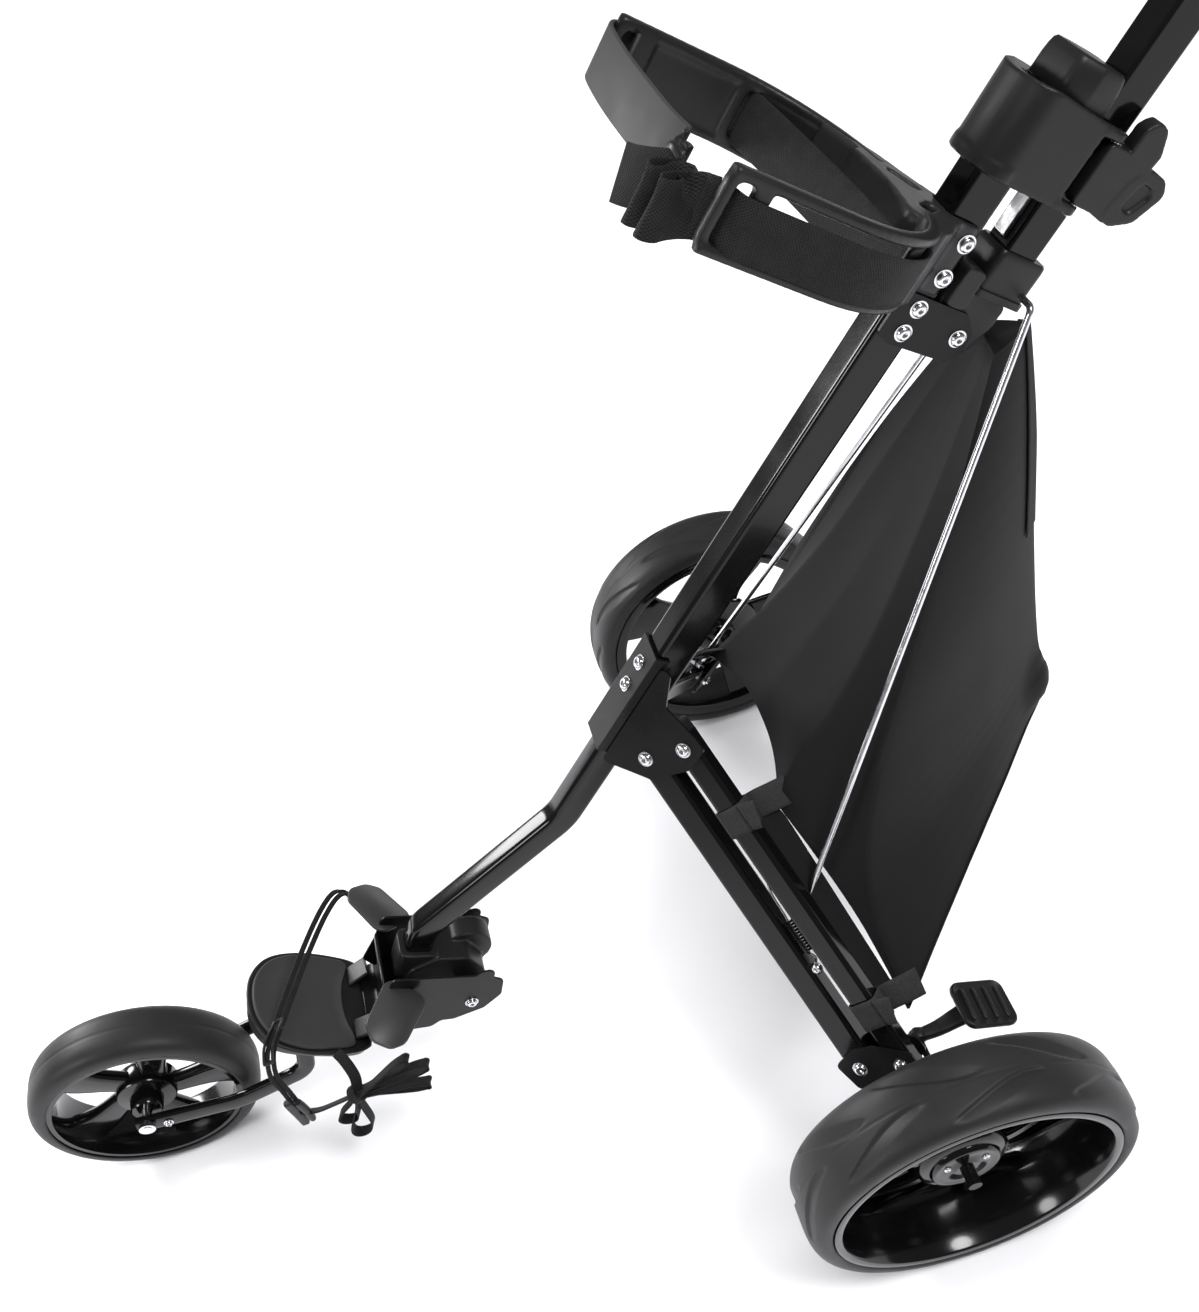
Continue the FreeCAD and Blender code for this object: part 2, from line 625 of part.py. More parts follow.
# ---------------------------------------------------------------- collar and clamp
LEVER_BACK = 54.5                                 # the clamp pin, behind the main tube's axis
LEVER_SIDE = 26.0                                 # and to its left


def make_collar():
    """Moulded collar round the main tube's top, with an open side that the handle tube folds out of."""
    size = value("$handle_tube_size")
    back = value("$handle_offset")
    slot = back - size / 2 - 0.6
    inner = size / 2 + 0.7
    outline = [(-31, -6), (-24, -20), (0, -28), (24, -20), (31, -6), (31, slot), (-inner, slot), (-inner, 84),
               (-29, 84), (-31, 60)]
    block = padded("clamp_collar", [outline], 56, 1.5)
    block.Placement = frame(along(28), SIDE, UP)
    bore = padded("collar_main_bore", [rectangle("$main_wide + 0.6", "$main_deep + 0.6")], 120, 1.9)
    bore.Placement = frame(along(60), SIDE, UP)
    ears = []
    for low in (-23.0, 28.0):
        ear = padded(f"clamp_ear_{len(ears) + 1}", [[(20, slot - 3), (32, slot - 3), (32, LEVER_BACK + 4),
                                                     (20, LEVER_BACK + 4)]], 7, 1.5)
        ear.Placement = frame(along(low), SIDE, UP)
        ears.append(ear)
    pin_hole = cylinder("clamp_ear_hole", 2.58, 80, along(50, LEVER_BACK, LEVER_SIDE), UP)
    notch = doc.addObject("Part::Box", "collar_notch")
    notch.Length, notch.Width, notch.Height = 18, 14, 14
    notch.Placement = frame(along(28.5, 30, -9), SIDE, UP)
    whole = fused("clamp_collar", [block] + ears)
    keep("clamp_collar", cut("clamp_collar", whole, [bore, pin_hole, notch]))
    cap = padded("collar_cap", [[(-20, -2), (20, -2), (26, 16), (25, 38), (-25, 38), (-26, 16)]], 26, 5.0)
    cap.Placement = frame(along(-30.3), SIDE, UP)
    keep("collar_cap", cap)


def make_clamp_lever():
    """Quick-release lever on the collar's left side: it closes beside the handle tube like a door."""
    pin = cylinder("clamp_pin_bar", 2.5, 58, along(29, LEVER_BACK, LEVER_SIDE), UP)
    keep("clamp_pin", pin)
    lever = padded("clamp_lever", [[(-22.6, 47.2), (20.6, 47.2), (20.6, 66), (22, 84), (14, 100), (-8, 110), (-16, 102),
                                    (-22, 84), (-40, 80), (-46, 70), (-40, 64), (-22.6, 63.5)]], 14, 3.0)
    lever.Placement = frame(along(0, 0, 19), UP * -1, SIDE)
    bore = cylinder("clamp_lever_hole", 2.55, 60, along(29, LEVER_BACK, LEVER_SIDE), UP)
    keep("clamp_lever", cut("clamp_lever", lever, [bore]))


# ---------------------------------------------------------------- handle and its hinge
def make_handle():
    """Square handle tube in the collar's open side, with its yoke, cross bar and grips."""
    back = value("$handle_offset")
    foot = 96.0
    tube = padded("handle_tube", [rectangle("$handle_tube_size", "$handle_tube_size"),
                                  rectangle("$handle_tube_size - 3", "$handle_tube_size - 3")],
                  "$handle_length", 3.2)
    keep("handle_tube", tube, frame(along(foot, back), SIDE, UP))
    top = along(foot - value("$handle_length") - 0.3, back)
    yoke = padded("handle_yoke", [rectangle("56", "38")], 44, 9.0)
    yoke.Placement = frame(top, SIDE, UP)
    bend = top + UP * 22 + BACK * 58
    bar = cylinder("handle_bar_rod", 11, 236, bend - SIDE * 118, SIDE)
    neck = padded("handle_neck", [rectangle("30", "26")], 38, 5.0)
    neck.Placement = frame(top + UP * 22 + BACK * 14, SIDE, BACK)
    hollow = cylinder("handle_bar_hollow", 11, 60, bend - SIDE * 30, SIDE)
    keep("handle_yoke", cut("handle_yoke", fused("handle_yoke", [yoke, neck]), [hollow]))
    keep("handle_bar", bar)
    grips = []
    for side in (1, -1):
        grip = turned(f"hand_grip_{'l' if side > 0 else 'r'}",
                      [(11.2, 26), (17, 26), (19, 60), (18, 100), (16.5, 122), (4, 124), (4, 120), (11.2, 120)])
        grip.Placement = frame(bend, V(1, 0, 0), SIDE * side)
        grips.append(grip)
    grip_set = doc.addObject("Part::Compound", "hand_grip_set")
    grip_set.Links = grips
    keep("hand_grips", grip_set)


def make_handle_hinge():
    """Steel cheeks bolted to the main tube, and the moulded block and sleeve that turn between them."""
    wide = value("$main_wide") / 2
    thick = value("$plate_thick")
    cheek_y = wide + 0.6
    down, back = HANDLE_PIVOT
    cheek = padded("hinge_cheek", [[(115, -14), (115, 44), (126, 56), (142, 58), (152, 50), (154, -2), (150, -14)]],
                   "$plate_thick", 3.5)
    cheek.Placement = frame(along(0, 0, cheek_y), UP * -1, SIDE)
    pivot = along(down, back)
    left = cut("hinge_cheek", cheek, drills("hinge_cheek", CHEEK_BOLTS + [pivot], SIDE, 60))
    right = doc.addObject("Part::Mirroring", "hinge_cheek_right")
    right.Source = left
    right.Normal = V(0, 1, 0)
    cheeks = doc.addObject("Part::Compound", "hinge_cheek_set")
    cheeks.Links = [left, right]
    keep("hinge_cheeks", cheeks)
    bolt_group("hinge_bolts", [(spot + SIDE * (cheek_y + thick), SIDE, 2 * (cheek_y + thick))
                               for spot in CHEEK_BOLTS + [pivot]])
    low = padded("handle_block_low", [[(84, 17.5), (84, 35), (100.4, 35), (100.4, 70), (118, 70), (140, 63),
                                       (150, 51), (148, 39), (134, 31), (116, 17.5)]], 2 * cheek_y - 0.4, 1.5)
    low.Placement = frame(along(0, 0, -cheek_y + 0.2), UP * -1, SIDE)
    top = padded("handle_block_top", [[(84, 18), (84, 34.5), (113.5, 34.5), (113.5, 18)]], 42, 3.0)
    top.Placement = frame(along(0, 0, -21), UP * -1, SIDE)
    block = fused("handle_block", [low, top])
    keep("handle_block", cut("handle_block", block, drills("handle_block", [pivot], SIDE, 80)))
    sleeve = padded("handle_sleeve", [rectangle("36", "42")], 34, 3.0)
    sleeve.Placement = frame(along(100.2, value("$handle_offset") + 2), SIDE, UP)
    socket = padded("sleeve_socket", [rectangle("$handle_tube_size + 0.4", "$handle_tube_size + 0.4")], 60, 1.6)
    socket.Placement = frame(along(96.2, value("$handle_offset")), SIDE, UP)
    eye = cylinder("sleeve_rod_hole", 3.2, 60, along(ROD_TOP[0], ROD_TOP[1], -30), SIDE)
    keep("handle_sleeve", cut("handle_sleeve", sleeve, [socket, eye]))
    latch = padded("latch_strip", [rectangle("12", "4")], 44, 1.5)
    keep("latch_strip", latch, frame(along(64.5, 38.6), SIDE, UP))


ROD_TOP = (90.0, 73.5)                            # down the tube and behind it
# The rod ends in an eye beside the rear leg tube's inner face, partway down.
ROD_FOOT = LEG_PIVOT + LEG_LINK + LEG * 169 - FLARE * (
    value("$plate_thick + $leg_rear_thick + $rod_radius") + 0.75)
# Line the rod's foot turns on, between its open course and its folded course beside the leg.
ROD_AXIS = V(0.543698, 0.681669, 0.489612)


def make_rods():
    """Stay rods from the handle's sleeve to studs on the rear leg tubes, hooked inwards at the top."""
    hook = along(ROD_TOP[0], ROD_TOP[1], 19.0)
    turn = along(ROD_TOP[0], ROD_TOP[1], 32.0)
    route = [hook, turn, ROD_FOOT]
    rod = swept("stay_rod", route, [6], round_section("stay_rod", "$rod_radius", hook, SIDE))
    eye = cylinder("stay_rod_eye", 6, 4.8, ROD_FOOT - ROD_AXIS * 2.4, ROD_AXIS)
    bore = cylinder("stay_rod_bore", 2.28, 20, ROD_FOOT - ROD_AXIS * 10, ROD_AXIS)
    pair("stay_rod", cut("stay_rod", fused("stay_rod", [rod, eye]), [bore]))


# ---------------------------------------------------------------- bag cradle
def strip_outline(inner, outer):
    """Half outline of a cradle arm seen along the tube, between two offsets of its centre line."""
    bend = 92.0
    half = value("$arm_half_gap")
    middle = (-48.0 - bend, half - bend)
    points = []
    for offset, angles in ((outer, (20, 40, 60, 80)), (inner, (80, 60, 40, 20))):
        arc = [(middle[0] + (bend + offset) * math.cos(math.radians(a)),
                middle[1] + (bend + offset) * math.sin(math.radians(a))) for a in angles]
        tip = [(-228.0, half + offset)]
        points += arc + [(middle[0], half + offset)] + tip if offset == outer else tip + [
            (middle[0], half + offset)] + arc
    return [(y, x) for x, y in points]


def make_cradle():
    """Bag cradle: a saddle bolted to the main tube and two long curved arms."""
    height = value("$arm_height")
    thick = value("$arm_thick")
    top = 60.0
    panel = padded("cradle_arm_panel", [strip_outline(0, thick)], height)
    panel.Placement = frame(along(top + height), SIDE, UP)
    rims = []
    for number, lift in enumerate((0.0, height - 4.0)):
        rim = padded(f"cradle_arm_rim_{number + 1}", [strip_outline(0, thick + 8)], 4)
        rim.Placement = frame(along(top + height - lift), SIDE, UP)
        rims.append(rim)
    slots = []
    for number, where in enumerate((-214.0, -118.0)):
        slot = doc.addObject("Part::Box", f"cradle_slot_{number + 1}")
        slot.Length, slot.Width, slot.Height = 40, 7, height - 12
        slot.Placement = frame(along(top + height - 6, where, value("$arm_half_gap") - 24), SIDE, UP)
        slots.append(slot)
    pair("cradle_arm", cut("cradle_arm", fused("cradle_arm", [panel] + rims), slots))
    wide = value("$main_wide") / 2 + 0.5
    deep = value("$main_deep") / 2 + 0.5
    saddle = padded("cradle_saddle", [[(wide, 12), (wide + 6, 12), (wide + 6, -14), (36, -50), (44, -62),
                                       (36, -72), (-36, -72), (-44, -62), (-36, -50), (-wide - 6, -14),
                                       (-wide - 6, 12), (-wide, 12), (-wide, -deep), (wide, -deep)]], 52, 1.6)
    saddle.Placement = frame(along(112), SIDE, UP)
    clear = padded("saddle_bag_clear", [[(-34, -64), (34, -64), (60, -120), (-60, -120)]], 80)
    clear.Placement = frame(along(130), SIDE, UP)
    arm_room = padded("saddle_arm_room", [strip_outline(-0.2, thick + 8.2)], height + 0.4)
    arm_room.Placement = frame(along(top + height + 0.2), SIDE, UP)
    room_copy = doc.addObject("Part::Mirroring", "saddle_arm_room_right")
    room_copy.Source = arm_room
    room_copy.Normal = V(0, 1, 0)
    holes = drills("cradle_saddle", SADDLE_BOLTS, SIDE, 80)
    keep("cradle_saddle", cut("cradle_saddle", saddle, [clear, arm_room, room_copy] + holes))
    bolt_group("saddle_bolts", [(spot + SIDE * (wide + 6), SIDE, 2 * (wide + 6)) for spot in SADDLE_BOLTS])


def band(name, start, end, wide, thick, up):
    """Flat strip of webbing between two points; its width lies along a direction."""
    strip = doc.addObject("Part::Box", name + "_strip")
    run = end - start
    run_up = V(up).normalize()
    across = run_up.cross(run).normalize()
    strip.Length, strip.Width, strip.Height = run.Length, thick, wide
    z_axis = V(run).normalize().cross(across).normalize()
    strip.Placement = frame(start - z_axis * (wide / 2) - across * (thick / 2), run, z_axis)
    return strip


def make_cradle_straps():
    """Webbing of the bag cradle, and the tab and hook that close it in front."""
    thick = value("$arm_thick")
    wide = value("$strap_width")
    outer = padded("cradle_strap_left", [strip_outline(thick + 0.3, thick + 1.9)], "$strap_width")
    outer.Placement = frame(along(85 + wide / 2), SIDE, UP)
    inner = band("cradle_strap_right", along(85, -116, -104), along(85, -82, 80), wide, 1.6, UP)
    keep("cradle_strap_right", inner)
    tab = band("strap_tab", along(85, -232, -108), along(85, -236, -6), 42, 3.0, UP)
    keep("strap_tab", tab)
    hook = band("strap_hook", along(86, -236, -4), along(86, -236, 22), 30, 8.0, UP)
    keep("strap_hook", hook)
    folds = band("strap_folds", along(88, -236, 24), along(86, -233, 104), wide, 14.0, UP)
    near = doc.addObject("Part::Compound", "cradle_strap_runs")
    near.Links = [outer, folds]
    keep("cradle_strap_left", near)


def make_base_strap():
    """Elastic strap from the right wing over the bag rest to its left edge, with its tied tail."""
    route = [V(484, -92, 214), V(524, -30, 222), V(570, 40, 214), V(580, 76, 120)]
    strap = swept("base_strap", route, [60, 30],
                  round_section("base_strap", 3.5, route[0], route[1] - route[0]))
    tail = doc.addObject("Part::Box", "base_strap_tail_block")
    tail.Length, tail.Width, tail.Height = 88, 20, 80
    tail.Placement = FreeCAD.Placement(at(436, 78, 52), FreeCAD.Rotation())
    runs = doc.addObject("Part::Compound", "base_strap_runs")
    runs.Links = [strap, tail]
    keep("base_strap", runs)


def make_bag_straps():
    """Two hook-and-loop bands on each rear leg tube that carry the pouch's lower edge."""
    centre = LEG_PIVOT + LEG_LINK - FLARE * (value("$plate_thick") + 0.4 + value("$leg_rear_thick") / 2)
    bands = []
    for number, where in enumerate((62, 262)):
        ring = padded(f"bag_strap_{number + 1}", [rectangle("$leg_rear_thick + 2.6", "$leg_rear_wide + 2.6"),
                                                  rectangle("$leg_rear_thick + 0.6", "$leg_rear_wide + 0.6")],
                      25, 0.2)
        ring.Placement = frame(centre + LEG * where, FLARE, LEG)
        bands.append(ring)
    pair_of_bands = doc.addObject("Part::Compound", "bag_strap_set")
    pair_of_bands.Links = bands
    pair("bag_straps", pair_of_bands)


def make_bag():
    """Storage pouch: narrow below the handle's sleeve, spreading to the two rear leg tubes."""
    section = doc.addObject("Part::Feature", "storage_bag_loft")
    rings = []
    for z, front, rear, front_half, rear_half in ((690, -168, -206, 24, 6), (560, -104, -214, 74, 8),
                                                  (420, -40, -222, 114, 10), (300, 4, -228, 140, 14),
                                                  (205, -10, -80, 190, 120)):
        corners = [at(front, front_half, z), at(rear, rear_half, z), at(rear, -rear_half, z),
                   at(front, -front_half, z)]
        rings.append(Part.makePolygon(corners + corners[:1]))
    section.Shape = Part.makeLoft(rings, True, True)
    keep("storage_bag", section)


def build():
    make_main_tube()
    make_lower_tube()
    make_hub()
    make_legs()
    make_wheel_brackets()
    make_pedals()
    make_rear_wheels()
    make_front_wheel()
    make_front_fork()
    make_base()
    make_fold_brackets()
    make_knuckle()
    make_collar()
    make_clamp_lever()
    make_handle()
    make_handle_hinge()
    make_rods()
    make_cradle()
    make_cradle_straps()
    make_base_strap()
    make_bag_straps()
    make_bag()


def write_pieces():
    """Check every object, then write one STEP file for each sub-part."""
    doc.recompute()
    for thing in doc.Objects:
        if "Invalid" in thing.State or "Error" in thing.State:
            raise RuntimeError(f"{thing.Name} failed: {thing.State}")
    for piece in PIECES:
        if piece.Shape.isNull() or not piece.Shape.isValid() or not piece.Shape.Solids:
            raise RuntimeError(f"{piece.Label} has no valid solid")
    os.makedirs("parts", exist_ok=True)
    for piece in PIECES:
        piece.Shape.exportStep(f"parts/{piece.Label}.step")
    box = FreeCAD.BoundBox()
    for piece in PIECES:
        box.add(piece.Shape.BoundBox)
    print(len(PIECES), "sub-parts;", "box", [round(n, 1) for n in (
        box.XMin, box.XMax, box.YMin, box.YMax, box.ZMin, box.ZMax)])


build()
write_pieces()
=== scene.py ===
import json
import math

import bmesh
import bpy
import numpy as np
from mathutils import Matrix, Vector, noise


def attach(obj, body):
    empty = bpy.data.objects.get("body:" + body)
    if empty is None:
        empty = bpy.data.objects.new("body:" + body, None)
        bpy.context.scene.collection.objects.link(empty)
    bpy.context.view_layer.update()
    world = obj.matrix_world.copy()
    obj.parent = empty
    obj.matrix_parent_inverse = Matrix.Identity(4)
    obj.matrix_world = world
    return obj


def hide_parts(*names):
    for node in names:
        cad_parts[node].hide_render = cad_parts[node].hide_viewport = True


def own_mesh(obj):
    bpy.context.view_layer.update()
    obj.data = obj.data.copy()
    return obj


# Folding golf push cart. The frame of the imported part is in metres: +X to the front wheel,
# +Y to the cart's left, +Z up, with the floor at z = 0. Sizes in this script are millimetres
# unless a name says otherwise, and at() and along() turn them into places in the frame.

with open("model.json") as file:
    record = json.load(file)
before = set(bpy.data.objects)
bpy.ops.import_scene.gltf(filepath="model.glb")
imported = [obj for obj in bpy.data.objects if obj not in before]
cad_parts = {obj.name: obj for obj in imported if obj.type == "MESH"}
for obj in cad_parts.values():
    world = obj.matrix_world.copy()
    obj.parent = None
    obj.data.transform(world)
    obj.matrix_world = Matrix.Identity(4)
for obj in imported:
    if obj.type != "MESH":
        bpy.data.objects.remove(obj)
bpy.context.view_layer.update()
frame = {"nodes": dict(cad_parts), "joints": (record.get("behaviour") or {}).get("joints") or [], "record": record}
NODES = frame["nodes"]
JOINTS = {joint["name"]: joint for joint in frame["joints"]}
RECORD = frame["record"]

MM = 0.001
AXLE_X = JOINTS["rear_wheel_spin_left"]["pos_m"][0]
TUBE_ANGLE = math.radians(51.25)
UP = Vector((-math.cos(TUBE_ANGLE), 0, math.sin(TUBE_ANGLE)))
BACK = Vector((-math.sin(TUBE_ANGLE), 0, -math.cos(TUBE_ANGLE)))
SIDE = Vector((0, 1, 0))
Z = Vector((0, 0, 1))
LEG = Vector((-0.286, 0.659, -0.697)).normalized()
FLARE = Vector((0.551, 0.708, 0.444))
FLARE = (FLARE - LEG * FLARE.dot(LEG)).normalized()
PLATE = 2.5
SIDES = (("left", 1), ("right", -1))


# ---------------------------------------------------------------- places on the cart
def at(x, y, z):
    """Place given from the rear axle's line and the floor."""
    return Vector((x * MM + AXLE_X, y * MM, z * MM))


COLLAR = at(-190, 0, 841.5)
LEG_PIVOT = at(146, 40, 404)
LEG_LINK = Vector((-30.9, 15.3, 14.0)) * MM
FOLD_PIVOT = at(375, 0, 128)
BASE_FACE = at(527, 0, 166)
BASE_X = -BACK


def along(down, back=0.0, side=0.0):
    """Place given down the main tube from the collar, behind its axis and to the left."""
    return COLLAR + (UP * -down + BACK * back + SIDE * side) * MM


def flip(vector, side):
    """The same place or direction on the left (side 1) or the right (side -1) of the cart."""
    return Vector((vector.x, vector.y * side, vector.z))


def turned_frame(origin, x_axis, z_axis):
    """Matrix whose X and Z lie along two square directions."""
    x_axis = Vector(x_axis).normalized()
    z_axis = Vector(z_axis).normalized()
    y_axis = z_axis.cross(x_axis)
    rows = Matrix((x_axis, y_axis, z_axis)).transposed().to_4x4()
    return Matrix.Translation(origin) @ rows


# ---------------------------------------------------------------- materials
def node_material(name):
    made = bpy.data.materials.new(name)
    made.use_nodes = True
    tree = made.node_tree
    return made, tree, tree.nodes["Principled BSDF"]


def add(tree, kind, **inputs):
    """A shader node with values or links for its inputs; a double underscore stands for a space."""
    made = tree.nodes.new(kind)
    for key, value in inputs.items():
        if key.startswith("set_"):
            setattr(made, key[4:], value)
            continue
        numbered = key[0] == "i" and key[1:].isdigit()
        socket = made.inputs[int(key[1:]) if numbered else key.replace("__", " ")]
        if isinstance(value, bpy.types.NodeSocket):
            tree.links.new(value, socket)
        else:
            socket.default_value = value
    return made


def maths(tree, kind, a, b=0.0):
    return add(tree, "ShaderNodeMath", set_operation=kind, i0=a, i1=b).outputs[0]


def blotches(tree, coords, scale, detail=4.0):
    return add(tree, "ShaderNodeTexNoise", Vector=coords, Scale=scale, Detail=detail).outputs["Fac"]


def spread(tree, factor, low, high):
    """A factor that runs from 0 to 1 brought into another range."""
    return add(tree, "ShaderNodeMapRange", Value=factor, i1=0.3, i2=0.7, i3=low, i4=high).outputs[0]


def shade(tree, factor, dark, light):
    mix = add(tree, "ShaderNodeMix", set_data_type="RGBA")
    tree.links.new(factor, mix.inputs[0])
    mix.inputs[6].default_value = (*dark, 1)
    mix.inputs[7].default_value = (*light, 1)
    return mix.outputs[2]


def surface(name, dark, light, rough, grain_mm, bump_mm, blotch_mm=40.0, metal=0.0, coat=0.0, coat_rough=0.1,
            specular=0.5):
    """Painted, moulded or plated surface: blotchy colour, uneven gloss and a fine grain."""
    made, tree, shader = node_material(name)
    coords = add(tree, "ShaderNodeTexCoord").outputs["Object"]
    wide = blotches(tree, coords, 1000 / blotch_mm)
    fine = blotches(tree, coords, 1000 / grain_mm, 2.0)
    tree.links.new(shade(tree, wide, dark, light), shader.inputs["Base Color"])
    tree.links.new(spread(tree, wide, rough[0], rough[1]), shader.inputs["Roughness"])
    bump = add(tree, "ShaderNodeBump", Height=fine, Strength=0.5, Distance=bump_mm * MM)
    tree.links.new(bump.outputs[0], shader.inputs["Normal"])
    shader.inputs["Metallic"].default_value = metal
    shader.inputs["Coat Weight"].default_value = coat
    shader.inputs["Coat Roughness"].default_value = coat_rough
    shader.inputs["Specular IOR Level"].default_value = specular
    return made


def woven(name, dark, light, across_mm, along_mm, bump_mm, rough=0.85, sheen=0.25, rib=False):
    """Webbing or cloth whose threads follow the piece's own UV map, which is in metres."""
    made, tree, shader = node_material(name)
    uv = add(tree, "ShaderNodeUVMap").outputs[0]
    parts = add(tree, "ShaderNodeSeparateXYZ", Vector=uv)
    warp = maths(tree, "SINE", maths(tree, "MULTIPLY", parts.outputs[0], 2 * math.pi * 1000 / across_mm))
    weft = maths(tree, "SINE", maths(tree, "MULTIPLY", parts.outputs[1], 2 * math.pi * 1000 / along_mm))
    knots = maths(tree, "MULTIPLY", warp, weft) if not rib else maths(tree, "MULTIPLY_ADD", warp, 0.5)
    height = maths(tree, "ADD", maths(tree, "MULTIPLY", knots, 0.5), 0.5)
    worn = blotches(tree, uv, 90.0)
    # Colour follows the weave's height: thread crowns lighter and the gaps between threads darker, which is
    # painted shade in the weave; the blotches that scale it are random wear.
    tone = maths(tree, "MULTIPLY", height, maths(tree, "ADD", worn, 0.35))
    tree.links.new(shade(tree, tone, dark, light), shader.inputs["Base Color"])
    bump = add(tree, "ShaderNodeBump", Height=height, Strength=0.9, Distance=bump_mm * MM)
    tree.links.new(bump.outputs[0], shader.inputs["Normal"])
    shader.inputs["Roughness"].default_value = rough
    shader.inputs["Sheen Weight"].default_value = sheen
    shader.inputs["Sheen Roughness"].default_value = 0.4
    shader.inputs["Specular IOR Level"].default_value = 0.25
    return made


def make_materials():
    grey = lambda tone: (tone, tone, tone * 1.03)
    return {
        "floor": surface("floor_white", grey(0.86), grey(0.90), (0.55, 0.7), 3.0, 0.02, 300.0),
        "tube_paint": surface("tube_paint", grey(0.002), grey(0.004), (0.10, 0.16), 1.2, 0.004, 60.0,
                              coat=0.12, coat_rough=0.05, specular=0.22),
        "moulding": surface("moulding", grey(0.007), grey(0.011), (0.36, 0.46), 0.7, 0.03, 30.0,
                            specular=0.32),
        "moulding_grey": surface("moulding_saddle", grey(0.012), grey(0.017), (0.36, 0.46), 0.7, 0.03, 30.0,
                                 specular=0.35),
        "plated_steel": surface("plated_steel", grey(0.62), grey(0.80), (0.12, 0.26), 0.8, 0.01, 12.0,
                                metal=1.0),
        "plate_steel": surface("plate_steel", grey(0.003), grey(0.006), (0.25, 0.38), 1.0, 0.015, 50.0,
                               coat=0.05, coat_rough=0.15, specular=0.18),
        "tyre_foam": surface("tyre_foam", grey(0.011), grey(0.017), (0.42, 0.54), 0.9, 0.05, 35.0,
                             specular=0.3),
        "rim_gloss": surface("rim_gloss", grey(0.002), grey(0.004), (0.10, 0.2), 1.5, 0.006, 60.0,
                             coat=0.2, coat_rough=0.08, specular=0.3),
        "webbing": woven("webbing", grey(0.001), grey(0.022), 2.2, 2.2, 0.35, sheen=0.04),
        "pouch_fabric": woven("pouch_fabric", grey(0.004), grey(0.008), 1.1, 1.1, 0.05, rough=0.8,
                              sheen=0.03),
        "strap_tab_grey": surface("strap_tab", grey(0.03), grey(0.04), (0.5, 0.6), 0.8, 0.02, 30.0,
                                  specular=0.2),
        "grip_foam": surface("grip_foam", grey(0.008), grey(0.013), (0.75, 0.9), 1.1, 0.25, 25.0,
                             specular=0.3),
        "hook_band": surface("hook_and_loop", grey(0.012), grey(0.04), (0.85, 0.95), 0.9, 0.4, 2.0,
                             specular=0.2),
        "rest_matte": surface("rest_matte", grey(0.024), grey(0.032), (0.5, 0.6), 0.8, 0.03, 40.0,
                              specular=0.3),
        "wing_grey": surface("wing_moulding", grey(0.02), grey(0.027), (0.38, 0.46), 0.8, 0.02, 40.0),
    }


MATERIALS = make_materials()


# ---------------------------------------------------------------- mesh tools
def mesh_object(name, points, faces, material, smooth=True, uvs=None):
    """New object from points and faces, with its faces turned outwards."""
    mesh = bpy.data.meshes.new(name)
    mesh.from_pydata([tuple(p) for p in points], [], faces)
    if uvs is not None:
        layer = mesh.uv_layers.new(name="UVMap")
        for loop in mesh.loops:
            layer.data[loop.index].uv = uvs[loop.vertex_index]
    shell = bmesh.new()
    shell.from_mesh(mesh)
    bmesh.ops.recalc_face_normals(shell, faces=shell.faces)
    shell.to_mesh(mesh)
    shell.free()
    thing = bpy.data.objects.new(name, mesh)
    bpy.context.scene.collection.objects.link(thing)
    mesh.materials.append(MATERIALS[material])
    if smooth:
        mesh.shade_smooth()
    return thing


def loft_data(rings, caps=True, loop=False):
    """Points and faces of a skin over rings with equal counts."""
    count = len(rings[0])
    points = [p for ring in rings for p in ring]
    faces = []
    spans = len(rings) if loop else len(rings) - 1
    for i in range(spans):
        a, b = i * count, ((i + 1) % len(rings)) * count
        faces += [(a + j, a + (j + 1) % count, b + (j + 1) % count, b + j) for j in range(count)]
    if caps and not loop:
        faces.append(tuple(range(count))[::-1])
        faces.append(tuple(range(len(points) - count, len(points))))
    return points, faces


def loft(name, rings, material, caps=True, loop=False, smooth=True):
    points, faces = loft_data(rings, caps, loop)
    return mesh_object(name, points, faces, material, smooth)


def joined(name, things):
    """Several objects made into one."""
    bpy.ops.object.select_all(action="DESELECT")
    for thing in things:
        thing.select_set(True)
    bpy.context.view_layer.objects.active = things[0]
    if len(things) > 1:
        bpy.ops.object.join()
    things[0].name = name
    things[0].data.name = name
    return things[0]


def apply_modifiers(thing):
    bpy.context.view_layer.update()
    graph = bpy.context.evaluated_depsgraph_get()
    mesh = bpy.data.meshes.new_from_object(thing.evaluated_get(graph))
    old = thing.data
    thing.modifiers.clear()
    thing.data = mesh
    bpy.data.meshes.remove(old)
    return thing


def edged(thing, width, segments=3, angle=35):
    """Rounds a hard piece's edges and keeps its flats flat."""
    bevel = thing.modifiers.new("edges", "BEVEL")
    bevel.width = width * MM
    bevel.segments = segments
    bevel.limit_method = "ANGLE"
    bevel.angle_limit = math.radians(angle)
    bevel.harden_normals = False
    even = thing.modifiers.new("flats", "WEIGHTED_NORMAL")
    even.keep_sharp = False
    thing.data.shade_smooth()
    return thing


def moulded(name, things, material, voxel=1.5, relax=6, cutters=()):
    """One moulding grown from overlapping solids: their union with softened edges."""
    base = joined(name, things)
    remesh = base.modifiers.new("skin", "REMESH")
    remesh.mode = "VOXEL"
    remesh.voxel_size = voxel * MM
    for number, cutter in enumerate(cutters):
        hole = base.modifiers.new(f"hole_{number}", "BOOLEAN")
        hole.operation = "DIFFERENCE"
        hole.object = cutter
        hole.solver = "EXACT"
    if cutters:
        again = base.modifiers.new("skin_again", "REMESH")
        again.mode = "VOXEL"
        again.voxel_size = voxel * MM
    soften = base.modifiers.new("soften", "SMOOTH")
    soften.factor = 0.5
    soften.iterations = relax
    apply_modifiers(base)
    for cutter in cutters:
        bpy.data.objects.remove(cutter)
    base.data.materials.clear()
    base.data.materials.append(MATERIALS[material])
    base.data.shade_smooth()
    return base


